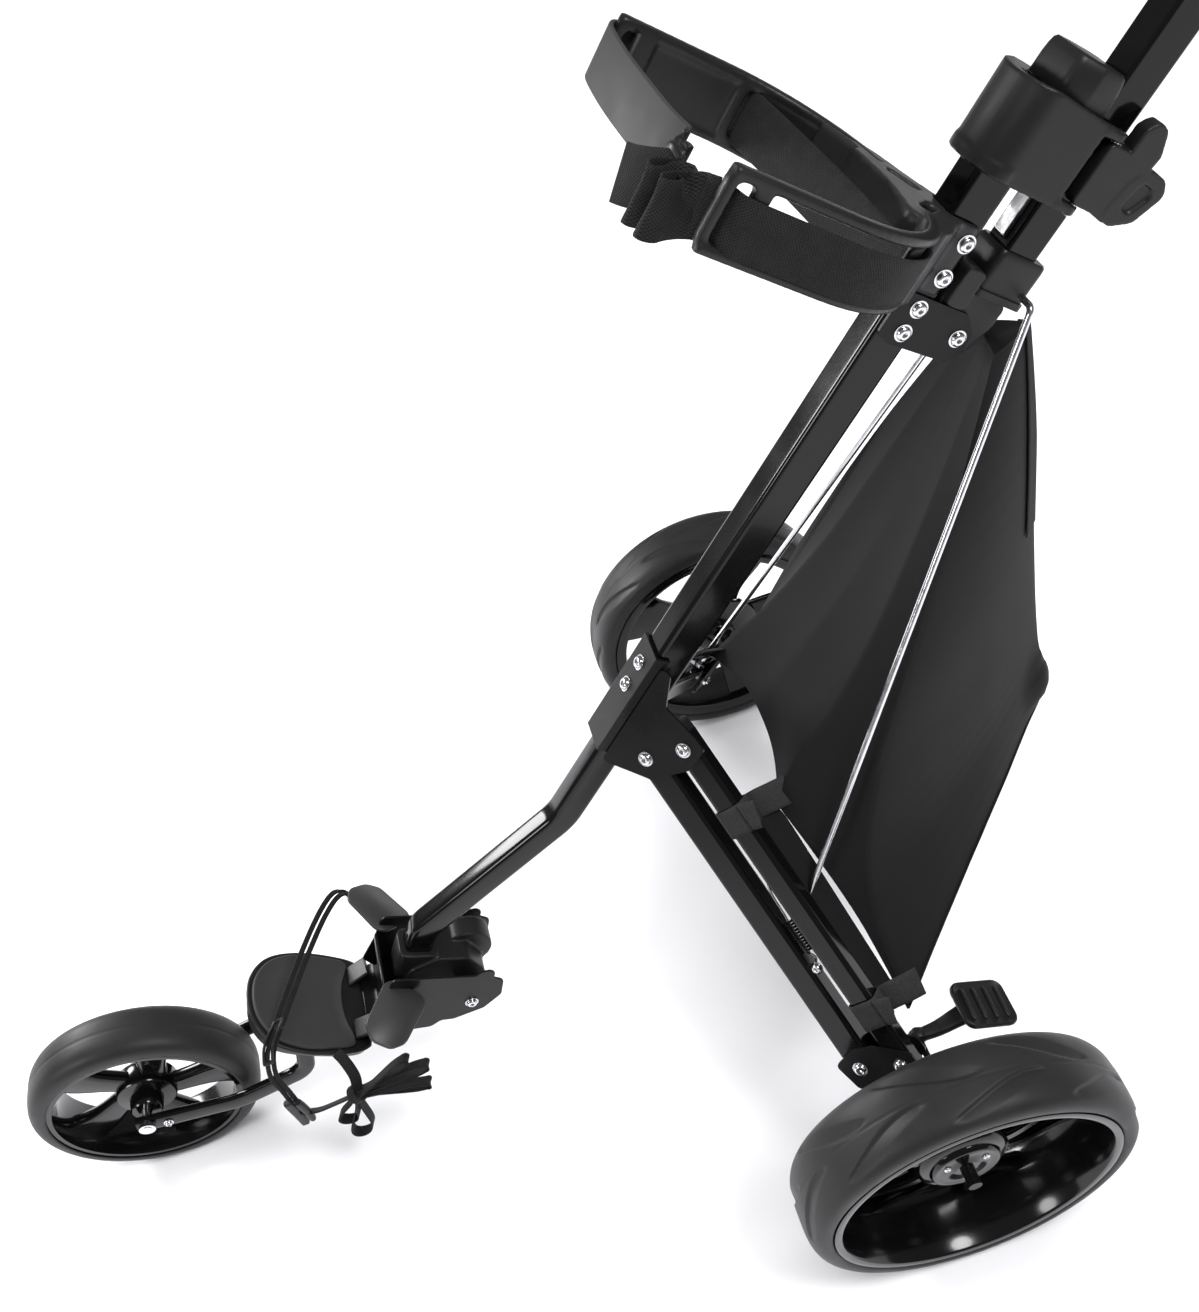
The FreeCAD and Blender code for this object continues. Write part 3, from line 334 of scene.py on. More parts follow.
def piece(thing, body, node=None):
    """Puts a finished piece on its body and in the place of its CAD nodes."""
    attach(thing, body)
    if node:
        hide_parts(*([node] if isinstance(node, str) else node))
    return thing


def rounded_rect(wide, deep, corner, steps=4):
    """Outline of a rectangle with round corners."""
    points = []
    for turn, (sx, sy) in enumerate(((1, 1), (-1, 1), (-1, -1), (1, -1))):
        for step in range(steps + 1):
            angle = math.radians(90 * turn + 90 * step / steps)
            points.append((sx * (wide / 2 - corner) + corner * math.cos(angle),
                           sy * (deep / 2 - corner) + corner * math.sin(angle)))
    return points


def circle(radius, steps=24):
    return [(radius * math.cos(2 * math.pi * i / steps), radius * math.sin(2 * math.pi * i / steps))
            for i in range(steps)]


def rounded_polygon(points, corner, steps=4):
    """Outline whose corners are rounded by at most the given radius."""
    made = []
    count = len(points)
    for i in range(count):
        here = Vector(points[i])
        before = Vector(points[i - 1]) - here
        after = Vector(points[(i + 1) % count]) - here
        half = before.angle(after) / 2
        reach = min(corner / math.tan(half), before.length * 0.45, after.length * 0.45)
        radius = reach * math.tan(half)
        a = here + before.normalized() * reach
        b = here + after.normalized() * reach
        bisector = (before.normalized() + after.normalized())
        if bisector.length < 1e-6:
            made.append(tuple(here))
            continue
        centre = here + bisector.normalized() * (radius / math.sin(half))
        start, end = a - centre, b - centre
        sweep = start.angle(end)
        spin = 1 if start.cross(end) > 0 else -1
        for step in range(steps + 1):
            angle = spin * sweep * step / steps
            c, s = math.cos(angle), math.sin(angle)
            made.append((centre.x + start.x * c - start.y * s, centre.y + start.x * s + start.y * c))
    return made


def smooth_outline(points, steps=6):
    """Closed smooth outline through points."""
    return [(p.x, p.y) for p in spline([Vector(p) for p in points], steps, closed=True)]


def placed(outline, matrix, height=0.0):
    return [matrix @ Vector((x * MM, y * MM, height * MM)) for x, y in outline]


def prism(name, outline, low, high, matrix, material, smooth=False):
    """Flat-sided solid over an outline, between two heights."""
    return loft(name, [placed(outline, matrix, low), placed(outline, matrix, high)], material, smooth=smooth)


def path_frames(path, across):
    """Tangent, across and up directions at each point of a path."""
    frames = []
    for i, here in enumerate(path):
        tangent = (path[min(i + 1, len(path) - 1)] - path[max(i - 1, 0)]).normalized()
        hint = across[i] if isinstance(across, (list, tuple)) else across
        side = (hint - tangent * hint.dot(tangent)).normalized()
        frames.append((here, tangent, side, tangent.cross(side).normalized()))
    return frames


def swept(name, path, section, across, material, scales=None, caps=True, loop=False):
    """Section carried along a path; its x runs across, and its y square to that."""
    rings = []
    lengths = [0.0]
    for a, b in zip(path, path[1:]):
        lengths.append(lengths[-1] + (b - a).length)
    for i, (here, _, side, rise) in enumerate(path_frames(path, across)):
        sx, sy = scales[i] if scales else (1.0, 1.0)
        rings.append([here + side * (x * sx * MM) + rise * (y * sy * MM) for x, y in section])
    points, faces = loft_data(rings, caps, loop)
    around = [0.0]
    for a, b in zip(section, section[1:]):
        around.append(around[-1] + math.dist(a, b) * MM)
    uvs = [(around[j], lengths[i]) for i in range(len(path)) for j in range(len(section))]
    return mesh_object(name, points, faces, material, True, uvs)


def ribbon(name, path, wide, thick, across, material, scales=None):
    """Flat webbing along a path, with its width across."""
    steps = 6
    half, lift = wide / 2, thick / 2
    section = [(half * (2 * i / steps - 1), -lift) for i in range(steps + 1)]
    section += [(half + lift * 0.6, 0)] + [(-x, lift) for x, _ in section] + [(-half - lift * 0.6, 0)]
    return swept(name, path, section, across, material, scales)


def spline(points, steps=8, closed=False):
    """Smooth line through points."""
    count = len(points)
    made = []
    for i in range(count if closed else count - 1):
        if closed:
            p = [points[(i + k) % count] for k in (-1, 0, 1, 2)]
        else:
            p = [points[max(i - 1, 0)], points[i], points[i + 1], points[min(i + 2, count - 1)]]
        for step in range(steps):
            t = step / steps
            made.append(0.5 * ((2 * p[1]) + (p[2] - p[0]) * t
                               + (2 * p[0] - 5 * p[1] + 4 * p[2] - p[3]) * t * t
                               + (3 * p[1] - p[0] - 3 * p[2] + p[3]) * t ** 3))
    if not closed:
        made.append(points[-1].copy())
    return made


def rounded_path(points, radii, steps=8):
    """Straight runs joined by tangent arcs."""
    made = [points[0]]
    for i in range(1, len(points) - 1):
        before = (points[i - 1] - points[i]).normalized()
        after = (points[i + 1] - points[i]).normalized()
        half = before.angle(after) / 2
        radius = radii[i - 1] * MM
        reach = radius / math.tan(half)
        centre = points[i] + (before + after).normalized() * (radius / math.sin(half))
        start = (points[i] + before * reach - centre).normalized()
        end = (points[i] + after * reach - centre).normalized()
        for step in range(steps + 1):
            made.append(centre + start.slerp(end, step / steps) * radius)
    made.append(points[-1])
    return made


def lathe(name, profile, matrix, material, steps=48, smooth=True):
    """Closed half section of (radius, height) turned about the matrix's Z."""
    rings = []
    for i in range(steps):
        angle = 2 * math.pi * i / steps
        rings.append([matrix @ Vector((r * MM * math.cos(angle), r * MM * math.sin(angle), h * MM))
                      for r, h in profile])
    points, faces = loft_data(rings, loop=True)
    return mesh_object(name, points, faces, material, smooth)


def hex_reach(angle):
    """How far a hexagon of unit inner radius reaches at an angle."""
    return 1 / math.cos((angle % (math.pi / 3)) - math.pi / 6)


def button_bolt(seat, direction, grip, head=5.5, nut=True):
    """Socket-head bolt on its washer, with a nut on the far end of its grip."""
    matrix = turned_frame(seat, direction.orthogonal(), direction)
    steps = 24
    angles = [2 * math.pi * i / steps for i in range(steps)]
    rows = [(head + 1.2, 0, 0), (head + 1.2, 0.9, 0), (head * 0.98, 1.0, 0), (head, 1.4, 0),
            (head * 0.93, 2.8, 0), (head * 0.72, 3.8, 0), (head * 0.5, 4.1, 0), (2.0, 4.0, 1), (1.9, 1.8, 1)]
    rings = [[matrix @ Vector((r * MM * (hex_reach(a) if hexed else 1) * math.cos(a),
                               r * MM * (hex_reach(a) if hexed else 1) * math.sin(a), h * MM))
                               for a in angles]
             for r, h, hexed in rows]
    parts = [loft("head", rings, "plated_steel")]
    if nut:
        far = -grip
        rows = [(2.9, far - 5.2, 0), (2.9, far - 3.4, 0), (4.4, far - 3.2, 1), (4.7, far - 2.8, 1),
                (4.7, far - 0.2, 1), (4.4, far, 1)]
        rings = [[matrix @ Vector((r * MM * (hex_reach(a) if hexed else 1) * math.cos(a),
                                   r * MM * (hex_reach(a) if hexed else 1) * math.sin(a), h * MM))
                                   for a in angles]
                 for r, h, hexed in rows]
        parts.append(loft("nut", rings, "plated_steel"))
    return parts


def bolts(name, node, body, seats):
    parts = []
    for seat, direction, grip in seats:
        parts += button_bolt(seat, direction.normalized(), grip)
    made = joined(name, parts)
    edge_by_angle(made, 40)
    return piece(made, body, node)


def edge_by_angle(thing, angle):
    """Keeps edges sharper than an angle crisp, and smooths the rest."""
    mesh = thing.data
    mesh.shade_smooth()
    shell = bmesh.new()
    shell.from_mesh(mesh)
    limit = math.radians(angle)
    for edge in shell.edges:
        edge.smooth = not (len(edge.link_faces) == 2 and edge.calc_face_angle(0.0) > limit)
    shell.to_mesh(mesh)
    shell.free()
    return thing


# ---------------------------------------------------------------- camera, light and floor
def make_camera():
    place = at(197.7, 754.1, 1279.4)
    yaw, pitch, roll = math.radians(-93.03), math.radians(45.95), math.radians(-15.94)
    look = Vector((math.cos(pitch) * math.cos(yaw), math.cos(pitch) * math.sin(yaw), -math.sin(pitch)))
    right = look.cross(Z).normalized()
    up = right.cross(look)
    right, up = (right * math.cos(roll) + up * math.sin(roll), up * math.cos(roll) - right * math.sin(roll))
    data = bpy.data.cameras.new("camera")
    data.sensor_width = 36
    data.lens = 36.64
    data.clip_start = 0.02
    camera = bpy.data.objects.new("camera", data)
    bpy.context.scene.collection.objects.link(camera)
    camera.matrix_world = Matrix.Translation(place) @ Matrix((right, up, -look)).transposed().to_4x4()
    bpy.context.scene.camera = camera


def area_light(name, place, target, size, power):
    data = bpy.data.lights.new(name, "AREA")
    data.shape = "DISK"
    data.size = size
    data.energy = power
    lamp = bpy.data.objects.new(name, data)
    bpy.context.scene.collection.objects.link(lamp)
    lamp.location = place
    lamp.rotation_euler = (Vector(target) - Vector(place)).to_track_quat("-Z", "Y").to_euler()


def make_light():
    world = bpy.data.worlds.new("studio")
    world.use_nodes = True
    world.node_tree.nodes["Background"].inputs[0].default_value = (1.0, 1.0, 1.0, 1)
    world.node_tree.nodes["Background"].inputs[1].default_value = 0.2
    bpy.context.scene.world = world
    bpy.context.scene.view_settings.view_transform = "Standard"
    area_light("key", (-1.2, 1.1, 2.8), (-0.1, 0, 0.4), 0.9, 44)
    area_light("fill", (2.2, 1.0, 1.6), (0.1, 0, 0.2), 0.8, 22)
    area_light("back", (1.9, -1.75, 1.4), (0.3, 0, 0.2), 1.0, 60)
    data = bpy.data.lights.new("overhead", "SUN")
    data.energy = 3.1
    data.angle = math.radians(70)
    lamp = bpy.data.objects.new("overhead", data)
    bpy.context.scene.collection.objects.link(lamp)
    lamp.rotation_euler = (math.radians(8), math.radians(-10), 0)
    lamp.visible_glossy = False


def make_floor():
    bpy.ops.mesh.primitive_plane_add(size=14, location=(0, 0, 0))
    floor = bpy.context.object
    floor.name = "floor"
    floor.data.materials.append(MATERIALS["floor"])


def paint_cad_nodes():
    """Gives every CAD node the finish of its slot in the record."""
    slots = {row["node"]: row["material_slot"] for row in RECORD["subparts"]}
    for name, thing in NODES.items():
        thing.data.materials.clear()
        thing.data.materials.append(MATERIALS[slots[name]])


make_camera()
make_light()
make_floor()
paint_cad_nodes()


# ---------------------------------------------------------------- wheels
TYRE_LEAVES = 9


def leaf_depth(angle, height, radius):
    """Depth of the tread at a place: two rows of S-shaped leaves, each with one sharp edge."""
    spacing = 2 * math.pi / TYRE_LEAVES
    half = spacing * radius * 0.45
    for row in (-1, 1):
        phase = spacing / 2 if row > 0 else 0
        here = ((angle - phase + spacing / 2) % spacing - spacing / 2) * radius / half
        if abs(here) >= 1:
            continue
        middle = row * (15.5 + 10.0 * math.sin(math.pi * here / 2))
        wide = 7.2 * (1 - here * here) ** 0.65 + 0.01
        across = (height - middle) * row / wide
        if -1 < across < 1:
            wall = min(1, (across + 1) * wide / 1.4)
            return 2.5 * wall * (1 - across) / 2 * min(1, (1 - abs(here)) * 5)
    return 0.0


def tyre(name, node, body, matrix, radius, wide, rim, shoulder, treaded):
    steps, rows = (432, 80) if treaded else (160, 48)
    half = wide / 2
    rings = []
    for i in range(steps):
        angle = 2 * math.pi * i / steps
        c, s = math.cos(angle) * MM, math.sin(angle) * MM
        ring = []
        for j in range(rows + 1):
            share = math.sin(math.pi / 2 * (2 * j / rows - 1))
            height = share * half
            out = radius - shoulder * (1 - (1 - abs(share) ** 3.4) ** 0.46)
            if treaded:
                out -= leaf_depth(angle, height, radius)
            if abs(height) < 0.5:
                out -= 0.35
            ring.append((out, height))
        low = radius - shoulder
        ring += [(low - 3, half + 0.1), (rim + 1.5, half - 1.0), (rim, half - 2.5)]
        ring += [(rim, 0.0), (rim, -half + 2.5), (rim + 1.5, -half + 1.0), (low - 3, -half - 0.1)]
        rings.append([matrix @ Vector((r * c, r * s, h * MM)) for r, h in ring])
    return piece(loft(name, rings, "tyre_foam", loop=True), body, node)


def spoke(name, matrix, turn, inner, outer, widths, rises, thick, lean):
    """Curved spoke of a moulded rim, from its hub to its barrel."""
    rings = []
    steps = 14
    for i in range(steps + 1):
        share = i / steps
        radius = inner + (outer - inner) * share
        angle = math.radians(turn + lean * math.sin(math.pi * share * 0.8))
        flare = 0.5 - 0.5 * math.cos(math.pi * share)
        wide = widths[0] + (widths[1] - widths[0]) * (0.3 * flare + 0.7 * share ** 2)
        rise = rises[0] + (rises[1] - rises[0]) * flare
        out = Vector((math.cos(angle), math.sin(angle), 0))
        round_way = Vector((-out.y, out.x, 0))
        ring = []
        for x, y in rounded_rect(wide, thick, thick * 0.45):
            ring.append(matrix @ ((out * radius + round_way * x + Z * (rise + y)) * MM))
        rings.append(ring)
    return loft(name, rings, "rim_gloss")


def rear_rim(side_name, side):
    matrix = turned_frame(at(0, 340 * side, 145), Vector((1, 0, 0)), SIDE * side)
    barrel = lathe("barrel", [(111, -24), (113, -30), (117, -32), (124.8, -32), (125.2, -30), (125.2, 30),
                              (124.8, 32.6), (122, 33.2), (118.5, 32.4), (117.2, 30.5), (116.2, 12),
                              (113.5, -8),
                              (110.5, -19)], matrix, "rim_gloss", 128)
    hub = lathe("hub", [(6.2, -32), (18, -32), (20, -30), (20.4, -24), (47, -23.5), (50, -21), (46, -18),
                        (42, -4),
                        (40, 2), (36, 4.4), (31.5, 5), (30.2, 8.4), (28.8, 9.2), (26, 8.6), (13, 8.2),
                        (11.5, 9.4),
                        (9, 9.6), (6.2, 9.4)], matrix, "rim_gloss", 96)
    parts = [barrel, hub]
    for number in range(5):
        turn = 36 + 72 * number
        parts.append(spoke("spoke", matrix, turn, 42, 113, (40, 74), (-10, -21), 5.0, 0))
        for lean in (-1, 1):
            parts.append(spoke("rib", matrix, turn + lean * 12, 38, 113, (3, 3), (-6, -16), 12.0, 0))
    for number in range(10):
        parts.append(spoke("hub_rib", matrix, 36 * number, 30, 46, (2.4, 2.4), (-2, -14), 12.0, 0))
    rim = edge_by_angle(joined(f"rear_rim_moulded_{side_name}", parts), 42)
    piece(rim, f"wheel_{side_name}", f"rear_rim_{side_name}")
    screws = []
    for number in range(3):
        angle = math.radians(90 + 120 * number)
        spot = matrix @ (Vector((19.5 * math.cos(angle), 19.5 * math.sin(angle), 8.3)) * MM)
        place = turned_frame(spot, matrix.col[0].xyz, matrix.col[2].xyz)
        screws.append(lathe("screw", [(0.01, 0), (3.6, 0), (3.5, 0.8), (2.8, 1.6), (1.8, 2.0), (1.2, 1.9),
                                      (1.1, 1.1),
                                      (0.01, 1.0)], place, "plated_steel", 20))
    piece(joined(f"rim_screws_{side_name}", screws), f"wheel_{side_name}", None)
    tyre(f"rear_tyre_treaded_{side_name}", f"rear_tyre_{side_name}", f"wheel_{side_name}", matrix,
         145, 66, 125, 14, True)


def front_wheel():
    matrix = turned_frame(at(715.5, 0, 111), Vector((1, 0, 0)), SIDE)
    tyre("front_tyre_smooth", "front_tyre", "front_wheel", matrix, 111, 53, 94, 15, False)
    barrel = lathe("barrel", [(87, -22), (88, -25.5), (93.8, -25.6), (94.2, -24), (94.2, 24), (93.8, 25.6),
                              (88, 25.5), (87, 22), (85.5, 0)], matrix, "rim_gloss", 112)
    hub = lathe("hub", [(5.2, -28), (14, -28), (15.5, -26), (16.5, -14), (28, -12), (29.5, -10), (29.5, 10),
                        (28, 12),
                        (16.5, 14), (15.5, 26), (14, 28), (5.2, 28)], matrix, "rim_gloss", 72)
    parts = [barrel, hub]
    for number in range(5):
        parts.append(spoke("spoke", matrix, 90 + 72 * number, 24, 88, (26, 44), (0, 0), 14.0, 9))
    rim = edge_by_angle(joined("front_rim_moulded", parts), 42)
    piece(rim, "front_wheel", "front_rim")


# ---------------------------------------------------------------- frame tubes, plates and bolts
def lower_tube():
    route = rounded_path([along(520), along(672), at(391, 0, 221.5), at(416, 0, 176)], [70, 30], 14)
    tube = swept("lower_tube_bent", route, rounded_rect(23.4, 27.4, 6.0, 6), SIDE, "tube_paint")
    edge_by_angle(tube, 50)
    piece(tube, "frame", "lower_tube")


def finish_cad_nodes():
    """Welded and softened edges on the CAD plates, tubes and bars that stay in view."""
    for name, width in (("main_tube", 0), ("handle_tube", 0), ("hub_bracket", 0.7), ("hinge_cheeks", 0.7),
                        ("front_axle", 0.5), ("clamp_pin", 0.4), ("stay_rod_left", 0), ("stay_rod_right", 0),
                        ("wheel_bracket_left", 0.7), ("wheel_bracket_right", 0.7), ("leg_front_tube_left", 0),
                        ("leg_front_tube_right", 0), ("leg_rear_tube_left", 0), ("leg_rear_tube_right", 0),
                        ("handle_bar", 0)):
        thing = NODES[name]
        weld = thing.modifiers.new("weld", "WELD")
        weld.merge_threshold = 0.00002
        if width:
            edged(thing, width, 2, 40)
        else:
            even = thing.modifiers.new("flats", "WEIGHTED_NORMAL")
            even.keep_sharp = True


HUB_FRONT = 16.4 + PLATE
CHEEK = 14.6 + PLATE


def all_bolts():
    leg_grip = PLATE + 0.4 + 20 + 0.4
    bolts("hub_bolt_set", "hub_bolts", "frame",
          [(along(spot, -HUB_FRONT), -BACK, 2 * 16.4 + PLATE) for spot in (483, 508)])
    bolts("leg_pivot_bolt_set", "leg_pivot_bolts", "frame",
          [(flip_at(spot, side), flip(FLARE, side), leg_grip) for side in (1, -1)
           for spot in (LEG_PIVOT, LEG_PIVOT + LEG_LINK)])
    bolts("saddle_bolt_set", "saddle_bolts", "frame",
          [(along(spot, 4, 20.5), SIDE, 41) for spot in (72, 98)])
    bolts("hinge_bolt_set", "hinge_bolts", "frame",
          [(along(down, back, CHEEK), SIDE, 2 * CHEEK) for down, back in ((124, 4), (143, 4), (133, 47))])
    bolts("fold_bolt_set", "fold_bolt", "frame", [(FOLD_PIVOT + SIDE * 38 * MM, SIDE, 76)])
    for name, side in SIDES:
        low = LEG_PIVOT + LEG * 325 * MM
        bolts(f"leg_foot_bolt_set_{name}", f"leg_foot_bolts_{name}", f"bracket_{name}",
              [(flip_at(spot, side), flip(FLARE, side), leg_grip + PLATE) for spot in (low, low + LEG_LINK)])


def flip_at(place, side):
    return Vector((place.x, place.y * side, place.z))


# ---------------------------------------------------------------- bag cradle
ARM_BEND = 92.0
ARM_GAP = 112.0
ARM_MIDDLE = (-48.0 - ARM_BEND, ARM_GAP - ARM_BEND)


def arm_line(side, down, offset=0.0, start=20.0, tip=-228.0):
    """Line along a cradle arm at one height down the tube, moved outwards by an offset."""
    line = []
    reach = ARM_BEND + offset
    angle = start
    while angle < 89:
        turn = math.radians(angle)
        line.append(along(down, ARM_MIDDLE[0] + reach * math.cos(turn),
                          side * (ARM_MIDDLE[1] + reach * math.sin(turn))))
        angle += 5
    back = ARM_MIDDLE[0]
    while back > tip + 1:
        line.append(along(down, back, side * (ARM_GAP + offset)))
        back -= 8
    line.append(along(down, tip, side * (ARM_GAP + offset)))
    return line


def arm_bar(side, down, offset, high, thick, start=20.0, tip=-228.0, corner=2.5):
    return swept("bar", arm_line(side, down, offset, start, tip), rounded_rect(high, thick, corner), UP,
                 "moulding")


def slot_cutter(side, down, back, wide, high, corner=4.0):
    matrix = turned_frame(along(down, back, side * ARM_GAP), BACK, SIDE)
    return prism("slot", rounded_rect(wide, high, corner), -26, 26, matrix, "moulding")


def tip_block(side, down, high, long, thick):
    matrix = turned_frame(along(down, -228 + long / 2, side * (ARM_GAP + 2)), BACK, SIDE)
    return prism("tip", rounded_rect(long, high, 9), -thick / 2, thick / 2, matrix, "moulding")


def cradle_arms():
    far = [arm_bar(-1, 85, 2.0, 48, 3.6, 12), arm_bar(-1, 63.5, 4.0, 8, 11, 12, -226),
           arm_bar(-1, 107.5, 3.5, 5.5, 9, 12, -226), tip_block(-1, 85, 51, 30, 7.5)]
    collar = prism("slot_rim", rounded_rect(24, 42, 7), -4, 4,
                   turned_frame(along(85, -118, -ARM_GAP - 1), BACK, SIDE), "moulding")
    far.append(collar)
    arm = moulded("cradle_arm_panelled", far, "moulding", 1.3, 5,
                  [slot_cutter(-1, 85, -216, 10, 36), slot_cutter(-1, 85, -118, 9, 34)])
    piece(arm, "frame", "cradle_arm_right")
    near = [arm_bar(1, 63, 1.0, 7, 11, 12, -226), arm_bar(1, 107.5, 4.0, 6, 9, 12, -226),
            tip_block(1, 85, 51, 30, 8)]
    web = arm_line(1, 85, 1.0, 12, -110)[:10]
    near.append(swept("web", web, rounded_rect(44, 3.6, 1.5), UP, "moulding"))
    arm = moulded("cradle_arm_open", near, "moulding", 1.3, 5, [slot_cutter(1, 85, -215, 12, 37)])
    piece(arm, "frame", "cradle_arm_left")


def cradle_saddle():
    """Block that clasps the main tube and spreads into the two arms."""
    outline = [(20.5, 12), (20.5, -8), (36, -23), (58, -38), (71, -52), (67, -60), (55, -58), (47, -68),
               (30, -66),
               (0, -62), (-30, -66), (-47, -68), (-55, -58), (-67, -60), (-71, -52), (-58, -38), (-36, -23),
               (-20.5, -8), (-20.5, 12)]
    matrix = turned_frame(along(112), SIDE, UP)
    parts = [prism("block", rounded_polygon(outline, 9, 5), 0, 52, matrix, "moulding_grey")]
    for side in (1, -1):
        root = [along(86, -30, 18 * side), along(86, -48, 38 * side), along(85, -62, 60 * side),
                along(85, -76, 82 * side)]
        parts.append(swept("root", spline(root, 6), rounded_rect(51, 12, 4), UP, "moulding_grey",
                           [(1.0 - 0.02 * i / 18, 1.25 - 0.8 * i / 18) for i in range(19)]))
    chin = [along(116, -24), along(121, -34), along(119, -48), along(112, -58)]
    parts.append(swept("chin", spline(chin, 5), circle(13, 20), SIDE, "moulding_grey",
                       [(1.25 - 0.3 * abs(i / 7.5 - 1), 0.75 - 0.35 * abs(i / 7.5 - 1)) for i in range(16)]))
    room = prism("tube_room", rounded_rect(28.6, 70, 3), -20, 90,
                 turned_frame(along(125, 18.4), SIDE, UP), "moulding_grey")
    hollow = []
    for side in (1, -1):
        place = turned_frame(along(70, -38, 21 * side), (BACK * 0.7 + SIDE * -0.7 * side).normalized(), UP)
        hollow.append(prism("hollow", rounded_rect(26, 9, 4), 0, 40, place, "moulding_grey"))
    front = prism("front", rounded_polygon([(-46, -69), (0, -61.5), (46, -69), (60, -120), (-60, -120)], 4),
                  -20, 90,
                  turned_frame(along(125), SIDE, UP), "moulding_grey")
    block = moulded("cradle_saddle_block", parts, "moulding_grey", 1.4, 8, [room, front] + hollow)
    piece(block, "frame", "cradle_saddle")


def cradle_webbing():
    """Straps of the cradle: one outside the left arm, one across from the right arm's slot."""
    outside = arm_line(1, 89, 7.6, 26, -206)
    outside += [along(89, -213, ARM_GAP + 6), along(89, -217, ARM_GAP + 1), along(89, -221, ARM_GAP - 6)]
    parts = [ribbon("outside", spline(outside, 2), 33, 1.6, UP, "webbing")]
    folds = [along(89, -221, 107), along(91, -226, 102), along(93, -227, 97), along(98, -231, 94),
             along(103, -243, 96),
             along(105, -249, 92), along(103, -244, 87), along(98, -233, 85), along(96, -229, 81),
             along(99, -234, 77),
             along(104, -245, 78), along(106, -251, 74), along(104, -245, 69), along(98, -234, 68),
             along(95, -228, 63)]
    parts.append(ribbon("folds", spline(folds, 6), 35, 1.6, UP, "webbing"))
    parts.append(ribbon("tail", spline([along(95, -228, 63), along(102, -236, 52), along(108, -242, 40),
                                        along(112, -245, 28)], 6), 34, 1.6, UP, "webbing"))
    near = joined("cradle_webbing_left", parts)
    piece(near, "frame", "cradle_strap_left")
    across = [along(86, -121, -119), along(86, -118, -112), along(86, -112, -98), along(87, -98, -40),
              along(89, -84, 20), along(91, -78, 62), along(92, -76, 78)]
    far = ribbon("cradle_webbing_right", spline(across, 8), 37, 1.6, UP, "webbing")
    piece(far, "frame", "cradle_strap_right")


def strap_tab():
    """Grey tab that hangs from the right arm's tip slot, and the wire hook at its end."""
    line = [along(85, -213, -106), along(85, -212, -116), along(85, -219, -122), along(85, -228, -119),
            along(86, -233, -104), along(87, -234, -60), along(88, -230, -14), along(89, -225, 14),
            along(89, -219, 32)]
    line = spline(line, 7)
    count = len(line)
    scales = [(1.0 - 0.12 * (i / count), 1.0) for i in range(count)]
    tab = swept("strap_tab_satin", line, rounded_rect(40, 3.2, 1.5), UP, "strap_tab_grey", scales)
    piece(tab, "frame", "strap_tab")
    parts = []
    for down in (80, 98):
        parts.append(swept("wire", spline([along(down, -220, 30), along(down, -226, 38),
                                           along(down + 1, -229, 48),
                                           along(down + 1, -228, 58)], 6), circle(2.1, 10), UP, "moulding"))
    bar = [along(74, -220, 32), along(104, -220, 32)]
    parts.append(swept("bar", bar, circle(2.4, 12), SIDE, "moulding"))
    bar = [along(74, -228, 58), along(106, -228, 58)]
    parts.append(swept("bar", bar, rounded_rect(8, 5, 2), SIDE, "moulding"))
    hook = [along(88, -225, 36), along(84, -232, 45), along(80, -234, 54), along(82, -230, 62)]
    parts.append(swept("prong", spline(hook, 6), rounded_rect(6, 4, 1.8), UP, "moulding"))
    made = moulded("strap_hook_buckle", parts, "moulding", 0.8, 4)
    piece(made, "frame", "strap_hook")


# ---------------------------------------------------------------- collar, cap, lever and handle
def collar():
    curve = [(31 * math.sin(a), -5 - 23 * math.cos(a)) for a in [math.radians(d) for d in range(-90, 91, 10)]]
    outline = curve + [(31, 40.2), (-14.9, 40.2), (-14.9, 84), (-27, 84), (-31, 78)]
    low = placed(outline, turned_frame(along(28), SIDE, UP))
    top = [p + UP * (61.6 - 3.6 * max(0, min(1, (q[1] + 5) / 40)) - 2.5 * max(0, (-q[1] - 5) / 23)) * MM
           for p, q in zip(low, outline)]
    parts = [loft("block", [low, top], "moulding")]
    for down in (-23.0, 28.0):
        ear = rounded_polygon([(18, 36), (31.5, 36), (32, 54), (28, 58.4), (22, 58), (19, 50)], 4)
        parts.append(prism("ear", ear, 0, 7, turned_frame(along(down), SIDE, UP), "moulding"))
    lip = [(x * 1.03, y * 1.03 - 0.2) for x, y in curve]
    parts.append(prism("lip", lip + [(20, 12), (-20, 12)], 0, 9, turned_frame(along(28), SIDE, UP),
                       "moulding"))
    bore = prism("bore", rounded_rect(28.8, 32.8, 4), -20, 90.6, turned_frame(along(60), SIDE, UP),
                 "moulding")
    notch = prism("notch", rounded_rect(18, 13, 3), 0, 16, turned_frame(along(29, 37, 0), SIDE, UP),
                  "moulding")
    made = moulded("clamp_collar_moulded", parts, "moulding", 1.1, 5, [bore, notch])
    piece(made, "frame", "clamp_collar")
    outline = rounded_polygon([(-20, -3), (20, -3), (27, 16), (25, 38.5), (-25, 38.5), (-27, 16)], 7, 5)
    place = turned_frame(along(-30.3), SIDE, UP)
    rings = []
    for high, size in ((0, 0.97), (1.2, 1.0), (14, 0.99), (20, 0.965), (24, 0.93), (26, 0.86)):
        rings.append([place @ (Vector((x * size, 17 + (y - 17) * size, high)) * MM) for x, y in outline])
    cap = loft("collar_cap_moulded", rings, "moulding")
    edge_by_angle(cap, 50)
    piece(cap, "frame", "collar_cap")


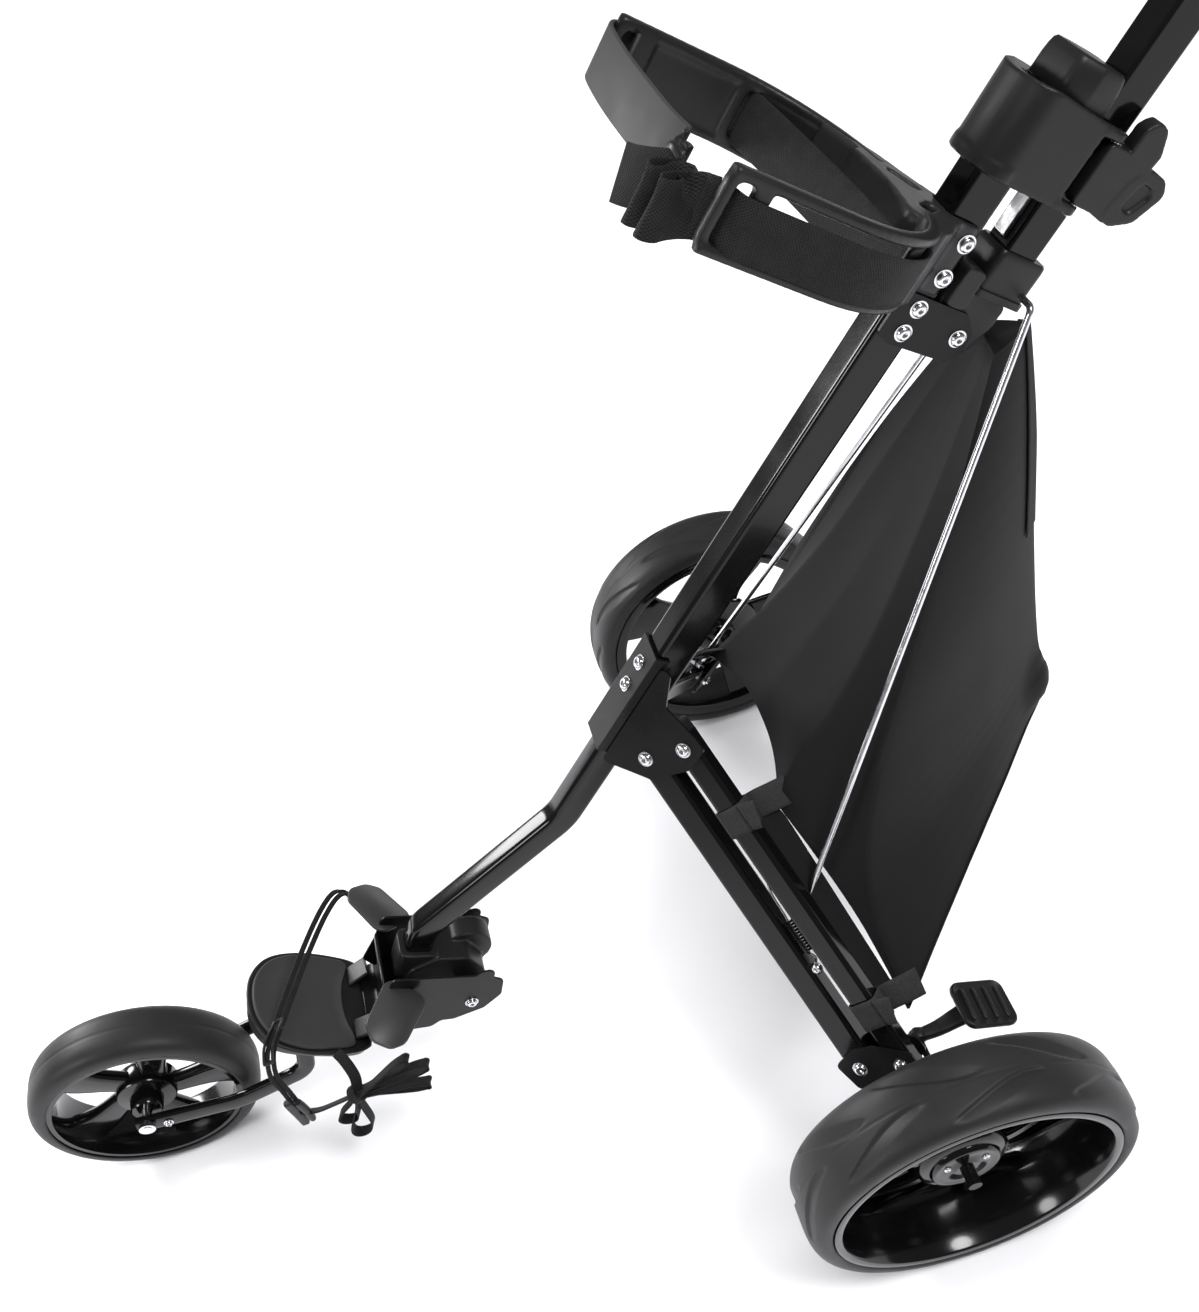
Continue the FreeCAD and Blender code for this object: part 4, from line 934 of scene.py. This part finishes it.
def clamp_lever():
    place = turned_frame(along(0, 0, 26), -UP, SIDE)
    body = rounded_polygon([(-22.4, 47.6), (20.4, 47.6), (20.4, 66), (23, 80), (12, 92), (-10, 92),
                            (-22.4, 80)], 5, 5)
    upper = rounded_polygon([(-22, 63.8), (-38, 64), (-46, 71), (-43, 80), (-28, 88), (-12, 86)], 6, 5)
    lower = rounded_polygon([(18, 74), (24, 84), (15, 101), (-8, 110.5), (-17, 104), (-20, 86), (-6, 78)],
                            8, 6)
    parts = [prism("body", body, -6.6, 6.6, place, "moulding"),
             prism("upper", upper, -6.0, 7.0, place, "moulding"),
             prism("lower", lower, -6.8, 7.0, place, "moulding")]
    recess = rounded_polygon([(10, 84), (11, 93), (-4, 101), (-9, 97), (-10, 88)], 4)
    cutter = prism("recess", recess, 4.6, 12, place, "moulding")
    bore = prism("bore", circle(2.9, 16), -60, 60, turned_frame(along(0, 54.5, 26), SIDE, UP), "moulding")
    made = moulded("clamp_lever_moulded", parts, "moulding", 0.9, 4, [cutter, bore])
    piece(made, "lever", "clamp_lever")


def latch():
    place = turned_frame(along(42, 38.6), UP, SIDE)
    rings = []
    for y in (-6, 6):
        outline = rounded_polygon([(-22, -1.8), (-18, 1.8), (18, 1.8), (22, -1.8)], 1.2)
        rings.append([place @ (Vector((x, h, y)) * MM) for x, h in outline])
    strip = loft("latch_strip_plated", rings, "plated_steel")
    edge_by_angle(strip, 30)
    piece(strip, "handle", "latch_strip")


def handle_parts():
    """Sleeve and hinge block at the handle's foot, and the yoke, bar and grips at its top."""
    place = turned_frame(along(0, 0, 0), -UP, SIDE)
    low = rounded_polygon([(84, 17.5), (84, 35), (100.4, 35), (100.4, 70), (118, 70), (140, 63), (150, 51),
                           (148, 39), (134, 31), (116, 17.5)], 5, 5)
    block = prism("block", low, -14.2, 14.2, place, "moulding")
    top = prism("top", rounded_polygon([(84, 18), (84, 34.5), (113.5, 34.5), (113.5, 18)], 4), -21, 21, place,
                "moulding")
    made = moulded("handle_block_moulded", [block, top], "moulding", 1.0, 4)
    piece(made, "handle", "handle_block")
    sleeve_place = turned_frame(along(100.2, 57), SIDE, UP)
    rings = []
    for high, size in ((0, 0.97), (1.5, 1.0), (29, 1.0), (32.5, 0.985), (34, 0.93)):
        rings.append(placed([(x * size, y * size) for x, y in rounded_rect(36, 42, 5, 6)], sleeve_place,
                            high))
    sleeve = loft("sleeve", rings, "moulding")
    lip = prism("lip", rounded_rect(39, 45, 6, 6), 0, 5, sleeve_place, "moulding")
    made = edge_by_angle(joined("handle_sleeve_moulded", [sleeve, edged(lip, 1.2)]), 40)
    piece(made, "handle", "handle_sleeve")
    top = along(96 - 345 - 0.3, 55)
    parts = []
    rings = []
    for high, size in ((0, 0.9), (3, 1.0), (22, 1.02), (38, 0.95), (44, 0.78)):
        rings.append(placed([(x * size, y * size) for x, y in rounded_rect(56, 38, 11, 6)],
                            turned_frame(top, SIDE, UP), high))
    parts.append(loft("yoke", rings, "moulding"))
    neck = [top + (UP * 22 + BACK * back) * MM for back in (6, 20, 36, 52)]
    parts.append(swept("neck", neck, rounded_rect(32, 28, 8, 5), SIDE, "moulding"))
    bend = top + (UP * 22 + BACK * 58) * MM
    saddle = [bend + SIDE * y * MM for y in (-26, -20, 20, 26)]
    parts.append(swept("saddle", saddle, circle(15, 28), UP, "moulding",
                       [(0.8, 0.8), (1, 1), (1, 1), (0.8, 0.8)]))
    made = moulded("handle_yoke_moulded", parts, "moulding", 1.3, 6)
    piece(made, "handle", "handle_yoke")
    grips = []
    for side in (1, -1):
        profile = [(11.2, 27), (16.5, 26.2), (17.6, 28), (17.8, 34)]
        for number in range(11):
            high = 38 + number * 7.2
            swell = 1.3 * math.sin(math.pi * number / 10)
            profile += [(17.6 + swell, high), (17.9 + swell, high + 2.6), (16.8 + swell, high + 3.6),
                        (16.8 + swell, high + 5.4)]
        profile += [(17.4, 118), (15.5, 122.6), (4, 123.8), (4, 120), (11.2, 120)]
        grips.append(lathe("grip", profile, turned_frame(bend, Vector((1, 0, 0)), SIDE * side), "grip_foam",
                           40))
    piece(joined("hand_grips_ribbed", grips), "handle", "hand_grips")


# ---------------------------------------------------------------- bag rest and front fork
def base_point(forward, side, lift=0.0):
    """Place on the bag rest: forward along its face, to the left, and above it."""
    return BASE_FACE + (BASE_X * forward + SIDE * side + UP * lift) * MM


def base_plate():
    """Shield-shaped bag rest with a shallow dish, a thin raised line and a wavy skirt."""
    rim = smooth_outline([(-64, -34), (-58, -50), (-30, -57), (6, -58), (36, -49), (54, -27), (59, 0),
                          (54, 27),
                          (36, 49), (6, 58), (-30, 57), (-58, 50), (-64, 34)], 6)
    place = turned_frame(BASE_FACE, BASE_X, UP)
    rings = []
    count = len(rim)
    for depth, size in ((-17, 0.93), (-14, 0.955), (-7.5, 0.975), (-6, 0.995), (-4.6, 1.0), (-3.4, 0.985),
                        (-3.0, 0.955), (-3.6, 0.935), (-3.8, 0.5), (-3.8, 0.12)):
        ring = []
        for i, (x, y) in enumerate(rim):
            wave = 3.5 * math.sin(6 * math.pi * i / count + 0.6) if depth < -13 else 0
            ring.append(place @ (Vector((x * size, y * size, depth + wave)) * MM))
        rings.append(ring)
    plate = edge_by_angle(loft("base_plate_moulded", rings, "moulding"), 50)
    rib_parts = [plate]
    for side in (1, -1):
        wall = [base_point(-44, 30 * side, -14), base_point(-50, 31 * side, 2),
                base_point(-60, 33 * side, 16)]
        rib_parts.append(edged(swept("wall", wall, rounded_rect(22, 5, 2), SIDE, "moulding"), 0.5, 2))
    for thing in rib_parts[1:]:
        apply_modifiers(thing)
    piece(joined("base_plate_moulded", rib_parts), "front", "base_plate")
    inner = smooth_outline([(-44, -46), (-16, -52), (10, -52), (34, -43), (49, -23), (53, 0), (49, 23),
                            (34, 43),
                            (10, 52), (-16, 52), (-44, 46), (-38, 20), (-36, 0), (-38, -20)], 6)
    rings = []
    for lift, size in ((-3.8, 1.03), (-1.4, 1.015), (-0.5, 1.0), (-0.1, 0.98), (-0.6, 0.96), (-0.9, 0.7),
                       (-1.1, 0.35), (-1.2, 0.04)):
        rings.append([place @ (Vector((x * size, y * size, lift)) * MM) for x, y in inner])
    piece(loft("base_pad_matte", rings, "rest_matte"), "front", "base_pad")


def fold_bracket():
    """Side plates with hook notches, their bridge, and the grey wings that cradle a bag's foot."""
    parts = []
    outline = [(57, 78), (-16, 39), (-21, 43), (-31, 41), (-34, 34), (-30, 28), (-38, 18), (-30, -4),
               (-8, -18),
               (24, -20), (36, -15), (48, -20), (84, -8), (96, 22), (76, 48)]
    for side in (1, -1):
        place = turned_frame(FOLD_PIVOT + SIDE * (38 - (0 if side > 0 else 73.5)) * MM, Vector((1, 0, 0)),
                             -SIDE)
        plate = prism("plate", rounded_polygon(outline, 7, 4), 0, PLATE, place, "plate_steel")
        parts.append(apply_modifiers(edged(plate, 0.7, 2)))
    bridge = prism("bridge", rounded_rect(34, 73, 3), 0, 10, turned_frame(at(452, 0, 122), BASE_X, UP),
                   "plate_steel")
    parts.append(apply_modifiers(edged(bridge, 1.2, 2)))
    wall = spline([at(482, 0, 128), at(464, 0, 129), at(455, 0, 150), at(450, 0, 172), at(444, 0, 192)], 5)
    sheet = swept("wall", wall, rounded_rect(86, 3, 1), SIDE, "plate_steel",
                  [(1 - 0.3 * max(0, i - 10) / 10, 1) for i in range(len(wall))])
    parts.append(sheet)
    made = joined("fold_bracket_plates", parts)
    piece(made, "front", "fold_bracket")
    wings = []
    direction = Vector((0.5, 0.85, 0.15)).normalized()
    for side in (1, -1):
        x_axis = flip(direction, side)
        normal = (UP - x_axis * UP.dot(x_axis)).normalized()
        place = turned_frame(flip_at(at(424, 37.6, 186), side), x_axis, normal)
        outline = rounded_polygon([(-2, -22), (52, -20), (64, -8), (62, 12), (50, 22), (-2, 24)], 12, 7)
        outline = [(x, y * side) for x, y in outline]
        rings = []
        for lift, size in ((0, 0.97), (0.8, 1.0), (3.2, 1.0), (4.0, 0.97)):
            rings.append([place @ (Vector((32 + (x - 32) * size, y * size, lift - 4)) * MM) for x,
                          y in outline])
        wings.append(edge_by_angle(loft("wing", rings, "wing_grey"), 60))
    made = joined("cradle_wings_grey", wings)
    piece(made, "front", None)


def knuckle():
    """Moulded knuckle between the side plates, with the tube's socket and a round stop."""
    place = turned_frame(FOLD_PIVOT + SIDE * 20 * MM, Vector((1, 0, 0)), -SIDE)
    outline = rounded_polygon([(-18, -12), (20, -12), (38, 6), (56, 42), (42, 56), (12, 60), (-14, 46),
                               (-22, 20)],
                              9, 5)
    parts = [prism("block", outline, 0, 40, place, "moulding")]
    down = (at(416, 0, 176) - at(391, 0, 221.5)).normalized()
    sleeve = turned_frame(at(416, 0, 176) - down * 26 * MM, SIDE, down)
    parts.append(prism("sleeve", rounded_rect(34, 38, 7), 0, 34, sleeve, "moulding"))
    stop = turned_frame(at(364, -2, 158), Vector((1, 0, 0)), -SIDE)
    parts.append(prism("stop", circle(25, 40), 0, 22, stop, "moulding"))
    hub = turned_frame(FOLD_PIVOT + SIDE * 33.2 * MM, Vector((1, 0, 0)), -SIDE)
    parts.append(prism("hub", circle(13, 32), 0, 66.4, hub, "moulding"))
    made = moulded("fold_knuckle_moulded", parts, "moulding", 1.2, 4)
    piece(made, "frame", "fold_knuckle")


def fork_arms():
    for name, side in SIDES:
        route = rounded_path([at(540, 38 * side, 150), at(552, 38 * side, 108), at(628, 38 * side, 92),
                              at(727, 38 * side, 108.2)], [26, 60], 12)
        count = len(route) - 1
        section = [(4.5 * abs(math.cos(a)) ** 0.6 * math.copysign(1, math.cos(a)),
                    10 * abs(math.sin(a)) ** 0.6 * math.copysign(1, math.sin(a)))
                   for a in [2 * math.pi * i / 28 for i in range(28)]]
        scales = [(1.5 - 0.5 * min(1, 1.6 * i / count), 0.86 + 0.14 * min(1, 1.6 * i / count))
                  for i in range(count + 1)]
        arm = swept("arm", route, section, SIDE, "tube_paint", scales)
        edge_by_angle(arm, 60)
        arm.name = f"fork_arm_flattened_{name}"
        piece(arm, "front", f"fork_arm_{name}")
        parts = []
        for x, z in ((715.5, 111), (697, 103.3)):
            seat = at(x, (38 + 4.8) * side, z)
            parts += button_bolt(seat, SIDE * side, 9, 3.6, False)
        made = edge_by_angle(joined(f"fork_rivets_{name}", parts), 40)
        piece(made, "front", None)


def loop_line(knot, direction, long, fat, lift, turns=1.0):
    """Closed pear-shaped loop of webbing from a knot out along a direction and back."""
    across = direction.cross(SIDE).normalized()
    points = []
    for i in range(15):
        t = i / 14
        out = math.sin(math.pi * t) ** 0.8 * long
        wide = math.sin(2 * math.pi * t) * fat * (0.35 + 0.65 * math.sin(math.pi * t))
        points.append(knot + (direction * out + across * wide * turns + SIDE * lift * t) * MM)
    return points


def base_strap():
    """Doubled elastic over the bag rest, with its hook, its buckle and its tail tied in loops."""
    parts = []
    over = [at(462, -88, 182), at(470, -90, 194), at(478, -80, 204), at(492, -58, 208), at(512, -24, 207),
            at(531, 12, 205), at(546, 40, 202)]
    for shift in (-3.4, 3.4):
        line = spline([p + (BASE_X * shift * 0.9 + SIDE * shift * -0.4) * MM for p in over], 8)
        parts.append(swept("elastic", line, rounded_rect(5.4, 3.0, 1.3), BASE_X, "webbing"))
    down = [at(548, 44, 200), at(560, 60, 190), at(566, 72, 170), at(562, 80, 150), at(560, 84, 136)]
    for shift in (-2.6, 2.6):
        line = spline([p + Vector((shift, 0, shift * 0.4)) * MM for p in down], 8)
        parts.append(swept("elastic", line, rounded_rect(4.6, 2.8, 1.2), Vector((1, 0, 0)), "webbing"))
    tie = [at(560, 86, 116), at(544, 88, 112), at(522, 89, 116), at(504, 90, 121)]
    for shift in (-1.6, 1.8):
        parts.append(ribbon("tie", spline([p + Vector((0, shift, shift)) * MM for p in tie], 6), 9, 1.4,
                            Vector((0.1, 0.7, 0.7)), "webbing"))
    knot = at(502, 90, 122)
    tilt = Vector((0.05, 0.85, 0.5))
    for direction, long, fat, lift in ((Vector((-0.93, -0.1, 0.36)), 62, 8, 3),
                                       (Vector((-0.99, 0.0, 0.1)), 74, 8, -2),
                                       (Vector((-0.96, 0.05, -0.24)), 70, 7, 2)):
        line = spline(loop_line(knot, direction.normalized(), long, fat, lift), 3)
        parts.append(ribbon("loop", line, 14, 1.3, tilt, "webbing"))
    for direction, long, fat, lift in ((Vector((0.5, 0.0, -0.86)), 44, 11, 3),
                                       (Vector((0.22, 0.1, -0.97)), 66, 12, -3)):
        line = spline(loop_line(knot, direction.normalized(), long, fat, lift), 3)
        parts.append(ribbon("loop", line, 11, 1.3, Vector((0.25, 0.9, 0.2)), "webbing"))
    wrap = [knot + Vector((5 * math.cos(a), 9 * math.sin(a), 7 * math.cos(a))) * MM
            for a in [2 * math.pi * i / 16 for i in range(17)]]
    parts.append(ribbon("wrap", wrap, 8, 1.6, Vector((1, 0, -0.6)), "webbing"))
    lead = [knot, at(498, 82, 136), at(502, 70, 148), at(508, 60, 154)]
    parts.append(ribbon("lead", spline(lead, 6), 10, 1.3, Vector((1, 0.2, 0.3)), "webbing"))
    made = joined("base_strap_webbing", parts)
    piece(made, "front", "base_strap")
    plastics = []
    hook = spline([at(544, 38, 204), at(552, 48, 202), at(560, 58, 196), at(565, 66, 184)], 6)
    for shift in (-4.2, 4.2):
        plastics.append(swept("hook", [p + Vector((shift, 0, 0)) * MM for p in hook],
                              rounded_rect(2.6, 5, 1.2),
                              Vector((1, 0, 0)), "moulding"))
    plastics.append(swept("bar", [hook[0] + Vector((-5, 0, 0)) * MM, hook[0] + Vector((5, 0, 0)) * MM],
                          circle(2.2, 12), SIDE, "moulding"))
    plastics.append(swept("bar", [hook[-1] + Vector((-5, 0, 0)) * MM, hook[-1] + Vector((5, 0, 0)) * MM],
                          circle(2.2, 12), SIDE, "moulding"))
    for x, y, long, wide in ((564, 86, 46, 11), (554, 89, 38, 8)):
        grip = [at(x + 1, y, 140), at(x, y, 131), at(x - 1, y, 116), at(x - 1, y, 140 - long)]
        plastics.append(swept("buckle", spline(grip, 6), rounded_rect(wide, 7, 3), Vector((1, 0, 0)),
                              "moulding",
                              [(0.75 + 0.25 * math.sin(math.pi * i / 18), 1) for i in range(19)]))
    made = moulded("base_strap_hooks", plastics, "moulding", 0.7, 4)
    piece(made, "front", None)


# ---------------------------------------------------------------- legs
def leg_place(name, side, down):
    start = LEG_PIVOT if name == "front" else LEG_PIVOT + LEG_LINK
    thick = 20 if name == "front" else 18
    spot = start + LEG * down * MM - FLARE * (PLATE + 0.4 + thick / 2) * MM
    return flip_at(spot, side)


def leg_details():
    across = LEG.cross(FLARE).normalized()
    for name, side in SIDES:
        leg = flip(LEG, side)
        flare = flip(FLARE, side)
        place = turned_frame(leg_place("rear", side, -10), flare, leg)
        outline = rounded_rect(17.8, 21.8, 4, 6)
        rings = []
        for high, size, slant in ((0, 1.0, 0), (-3, 1.0, 0), (-7, 0.98, 2.5), (-10, 0.9, 4), (-12, 0.62, 4)):
            rings.append([place @ (Vector((x * size, y * size, high + slant * y / 22)) * MM) for x,
                          y in outline])
        cap = edge_by_angle(loft(f"leg_cap_wedge_{name}", rings, "moulding"), 50)
        piece(cap, f"leg_rear_{name}", f"leg_cap_{name}")
        # Return spring with its bolt at the foot and the wire hook that reaches the rear tube.
        seat = (LEG_PIVOT + LEG * 222 * MM - FLARE * (PLATE + 0.4 + 10) * MM - across * (13 + 6) * MM)
        coil = []
        for i in range(11 * 12 + 1):
            turn = 2 * math.pi * i / 12
            spot = seat + LEG * (-6 - 32 * i / 132) * MM
            coil.append(flip_at(spot + (FLARE * math.cos(turn) + across * math.sin(turn)) * 3.6 * MM, side))
        parts = [swept("coil", coil, circle(0.95, 8), leg, "plate_steel")]
        top = seat - LEG * 38 * MM
        wire = [top + across * 3 * MM, top - LEG * 6 * MM + across * 2 * MM,
                top - LEG * 24 * MM + across * 1 * MM,
                top - LEG * 34 * MM - across * 1 * MM, top - LEG * 38 * MM - across * 3 * MM]
        parts.append(swept("wire", spline([flip_at(p, side) for p in wire], 6), circle(1.1, 8), flare,
                           "plated_steel"))
        foot = seat - LEG * 4 * MM
        hook = [foot + across * 3 * MM, foot + LEG * 4 * MM, foot + LEG * 9 * MM + across * 2 * MM]
        parts.append(swept("hook", spline([flip_at(p, side) for p in hook], 5), circle(1.1, 8), flare,
                           "plated_steel"))
        bolt = flip_at(seat + LEG * 8 * MM + FLARE * 5 * MM + across * 2 * MM, side)
        parts += button_bolt(bolt, flare, 8, 4.4, False)
        stem = [flip_at(seat + LEG * 8 * MM + FLARE * (5 - k) * MM + across * (2 + k * 0.7) * MM, side)
                for k in (0, 6, 12)]
        parts.append(swept("stem", stem, circle(2.4, 12), leg, "plated_steel"))
        made = joined(f"return_spring_{name}", parts)
        piece(made, f"leg_front_{name}", f"leg_spring_{name}")
        # Hook-and-loop bands that tie the pouch to the rear tube, each with a loose end.
        bands = []
        for down in (62, 262):
            centre = leg_place("rear", side, down + 12.5)
            ring = [centre + (flare * x + leg.cross(flare) * y) * MM for x,
                    y in rounded_rect(21.2, 25.2, 5, 4)]
            ring.append(ring[0])
            bands.append(ribbon("band", ring, 25, 1.5, leg, "hook_band"))
            out = flip(across, side) * -1
            inward = -flare
            tail = [centre + (inward * 10 + out * 9) * MM, centre + (inward * 12.5 + out * 17) * MM,
                    centre + (inward * 19 + out * 27 + leg * 2) * MM,
                    centre + (inward * 30 + out * 38 + leg * 5) * MM]
            bands.append(ribbon("tail", spline(tail, 6), 24, 1.5, leg, "hook_band"))
            tip = [centre + (flare * 11 + out * 12) * MM, centre + (flare * 13 + out * 16) * MM,
                   centre + (flare * 11 + out * 24 + leg * 2) * MM]
            bands.append(ribbon("tip", spline(tip, 5), 24, 1.5, leg, "hook_band"))
        made = joined(f"bag_bands_{name}", bands)
        piece(made, f"leg_rear_{name}", f"bag_straps_{name}")


def pedals():
    slope = Vector((0.9, 0, 0.436)).normalized()
    rise = Vector((-0.436, 0, 0.9)).normalized()
    for name, side in SIDES:
        middle = at(-62, 243 * side, 192)
        place = turned_frame(middle, slope, rise)
        outline = rounded_rect(52, 44, 9, 7)
        rings = []
        for high, size in ((0, 0.9), (1.2, 0.97), (3, 1.0), (5.6, 1.0), (6.8, 0.975), (7.0, 0.94), (5.9, 0.9),
                           (5.8, 0.3)):
            rings.append([place @ (Vector((x * size, y * size, high)) * MM) for x, y in outline])
        parts = [loft("pad", rings, "moulding")]
        for number in range(4):
            start = middle + (slope * (-17 + 11.3 * number) + rise * 6.4) * MM
            line = [start + SIDE * y * MM for y in (-15, -13, 0, 13, 15)]
            parts.append(swept("rib", line, rounded_rect(4.2, 3.4, 1.6), slope, "moulding",
                               [(0.5, 0.4), (1, 1), (1, 1), (1, 1), (0.5, 0.4)]))
        pivot = at(-4, 243 * side, 178)
        arm = [pivot, at(-22, 243 * side, 180), at(-38, 243 * side, 187), at(-52, 243 * side, 193)]
        parts.append(swept("arm", spline(arm, 6), rounded_rect(14, 8, 3), SIDE, "moulding",
                           [(0.7 + 0.7 * i / 18, 1.3 - 0.4 * i / 18) for i in range(19)]))
        boss = lathe("boss", [(3.1, -4.5), (7, -4.5), (7.6, -3.5), (7.6, 3.5), (7, 4.5), (3.1, 4.5)],
                     turned_frame(pivot, Vector((1, 0, 0)), SIDE), "moulding", 28)
        parts.append(boss)
        made = edge_by_angle(joined(f"brake_pedal_ribbed_{name}", parts), 50)
        piece(made, f"pedal_{name}", f"brake_pedal_{name}")


# ---------------------------------------------------------------- storage pouch
POUCH_REAR = [(-206, 0, 690), (-214, 0, 600), (-219, 0, 500), (-225, 0, 400), (-231, 0, 330), (-236, 0, 268)]
POUCH_CORNER = [(-168, 24, 690), (-118, 64, 590), (-66, 98, 480), (-22, 124, 380), (2, 160, 290),
                (-4, 224, 198)]
POUCH_STRAP = [(-170, 13, 690), (-116, 36, 590), (-58, 56, 490), (-8, 72, 424), (30, 82, 388), (52, 92, 358)]
POUCH_FRONT = [(-172, 0, 690), (-120, 0, 590), (-62, 0, 496), (-14, 0, 436), (18, 0, 400), (36, 0, 376)]
POUCH_ROWS = 72


def pouch_curve(points):
    places = spline([at(*p) for p in points], 24)
    last = len(places) - 1
    return [places[round(last * i / POUCH_ROWS)] for i in range(POUCH_ROWS + 1)]


def crumple(place):
    """Moves a point of the pouch's cloth in or out with long soft folds and a fine creep."""
    low = max(0.0, min(1.0, (0.66 - place.z) / 0.4))
    creep = noise.noise(Vector((place.x * 9, place.y * 12, place.z * 3.0)))
    fine = noise.noise(Vector((place.x * 24, place.y * 24, place.z * 9)) + Vector((3, 7, 1)))
    return place + Vector((0.4, math.copysign(0.9, place.y), 0.1)) * (creep * 4.5 + fine * 1.3) * low * MM


def pouch():
    """Closed cloth pouch: a rear seam, a corner behind each stay rod and a front held by the leg bands."""
    rear, corner = pouch_curve(POUCH_REAR), pouch_curve(POUCH_CORNER)
    held, front = pouch_curve(POUCH_STRAP), pouch_curve(POUCH_FRONT)
    rings = []
    for row in range(POUCH_ROWS + 1):
        share = row / POUCH_ROWS
        half = []
        swell = 12 * math.sin(math.pi * min(1, share * 1.02)) + 2
        out = (corner[row] - rear[row]).cross(Z).normalized()
        out = out if out.y > 0 else -out
        lip = math.exp(-((share - 0.9) / 0.07) ** 2)
        for i in range(44):
            t = i / 44
            shape = math.sin(math.pi * t) ** 0.7
            gape = 9 * lip * math.exp(-((t - 0.05) / 0.05) ** 2)
            half.append(rear[row].lerp(corner[row], t) + out * (shape * swell + gape) * MM
                        - Vector((6 * lip * math.exp(-(t / 0.05) ** 2), 0, 0)) * MM
                        + Z * (6 * math.sin(math.pi * t) * share ** 8) * MM)
        for i in range(18):
            t = i / 18
            half.append(corner[row].lerp(held[row], t) + Vector((-7, 2,
                                                                 0)) * math.sin(math.pi * t) * share * MM)
        for i in range(15):
            t = i / 14
            half.append(held[row].lerp(front[row], t) + Vector((-5, 0,
                                                                0)) * math.sin(math.pi * t) * share * MM)
        half = [crumple(p) for p in half]
        rings.append(half + [flip_at(p, -1) for p in half[1:-1]][::-1])
    flanks = [ring[:10] for ring in rings[:30]]
    lowest = rings[-1]
    centre = at(-70, 0, 296)
    for share in (0.06, 0.25, 0.5, 0.75, 0.96):
        rings.append([p.lerp(centre, share) for p in lowest])
    top = rings[0]
    middle = sum(top, Vector()) / len(top)
    rings = [[p.lerp(middle, share) + Z * lift * MM for p in top] for share,
             lift in ((0.96, -3), (0.5, -1))] + rings
    cloth = edge_by_angle(loft("storage_pouch_cloth", rings, "pouch_fabric", caps=True), 70)
    hem = []
    for side in (1, -1):
        seam = [flip_at(p, side) for p in lowest[0:45]]
        hem.append(swept("piping", seam, circle(1.3, 8), Z, "pouch_fabric"))
        edge = [flip_at(p, side) for p in lowest[44:63]]
        hem.append(swept("piping", edge, circle(1.3, 8), Z, "pouch_fabric"))
        points = []
        for t in [i / 8 for i in range(9)]:
            seam_point = lowest[44].lerp(lowest[62], t)
            leg_point = at(28, 218, 226).lerp(at(84, 92, 366), t)
            for share in (0, 0.5, 1):
                slack = Vector((-6, -2, -4)) * math.sin(math.pi * share) * MM
                points.append(flip_at(seam_point.lerp(leg_point, share) + slack, side))
        faces = [(3 * i + k, 3 * i + k + 1, 3 * i + k + 4, 3 * i + k + 3) for i in range(8) for k in (0, 1)]
        panel = mesh_object("gusset", points, faces, "pouch_fabric")
        finer = panel.modifiers.new("fine", "SUBSURF")
        finer.levels = 1
        solid = panel.modifiers.new("cloth", "SOLIDIFY")
        solid.thickness = 1.2 * MM
        solid.offset = 0
        hem.append(apply_modifiers(panel))
    made = joined("storage_pouch_cloth", [cloth] + hem)
    piece(made, "frame", "storage_bag")
    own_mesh(made)
    # Hook-and-loop closure down the upper part of the rear seam.
    bands = []
    for side in (1, -1):
        line = [flip_at(f[4] + (f[8] - f[0]).cross(Z).normalized() * -1.3 * MM, side) for f in flanks]
        wide = [flip(f[8] - f[0], side).normalized() for f in flanks]
        scales = [(min(1.0, (f[8] - f[0]).length / 0.024), 1) for f in flanks]
        bands.append(ribbon("closure", line, 22, 1.4, wide, "hook_band", scales))
    made = joined("pouch_closure_band", bands)
    piece(made, "frame", None)
    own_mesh(made)


# ---------------------------------------------------------------- build
for side_name, side_sign in SIDES:
    rear_rim(side_name, side_sign)
front_wheel()
lower_tube()
finish_cad_nodes()
all_bolts()
cradle_arms()
cradle_saddle()
cradle_webbing()
strap_tab()
collar()
clamp_lever()
latch()
handle_parts()
base_plate()
fold_bracket()
knuckle()
fork_arms()
base_strap()
leg_details()
pedals()
pouch()
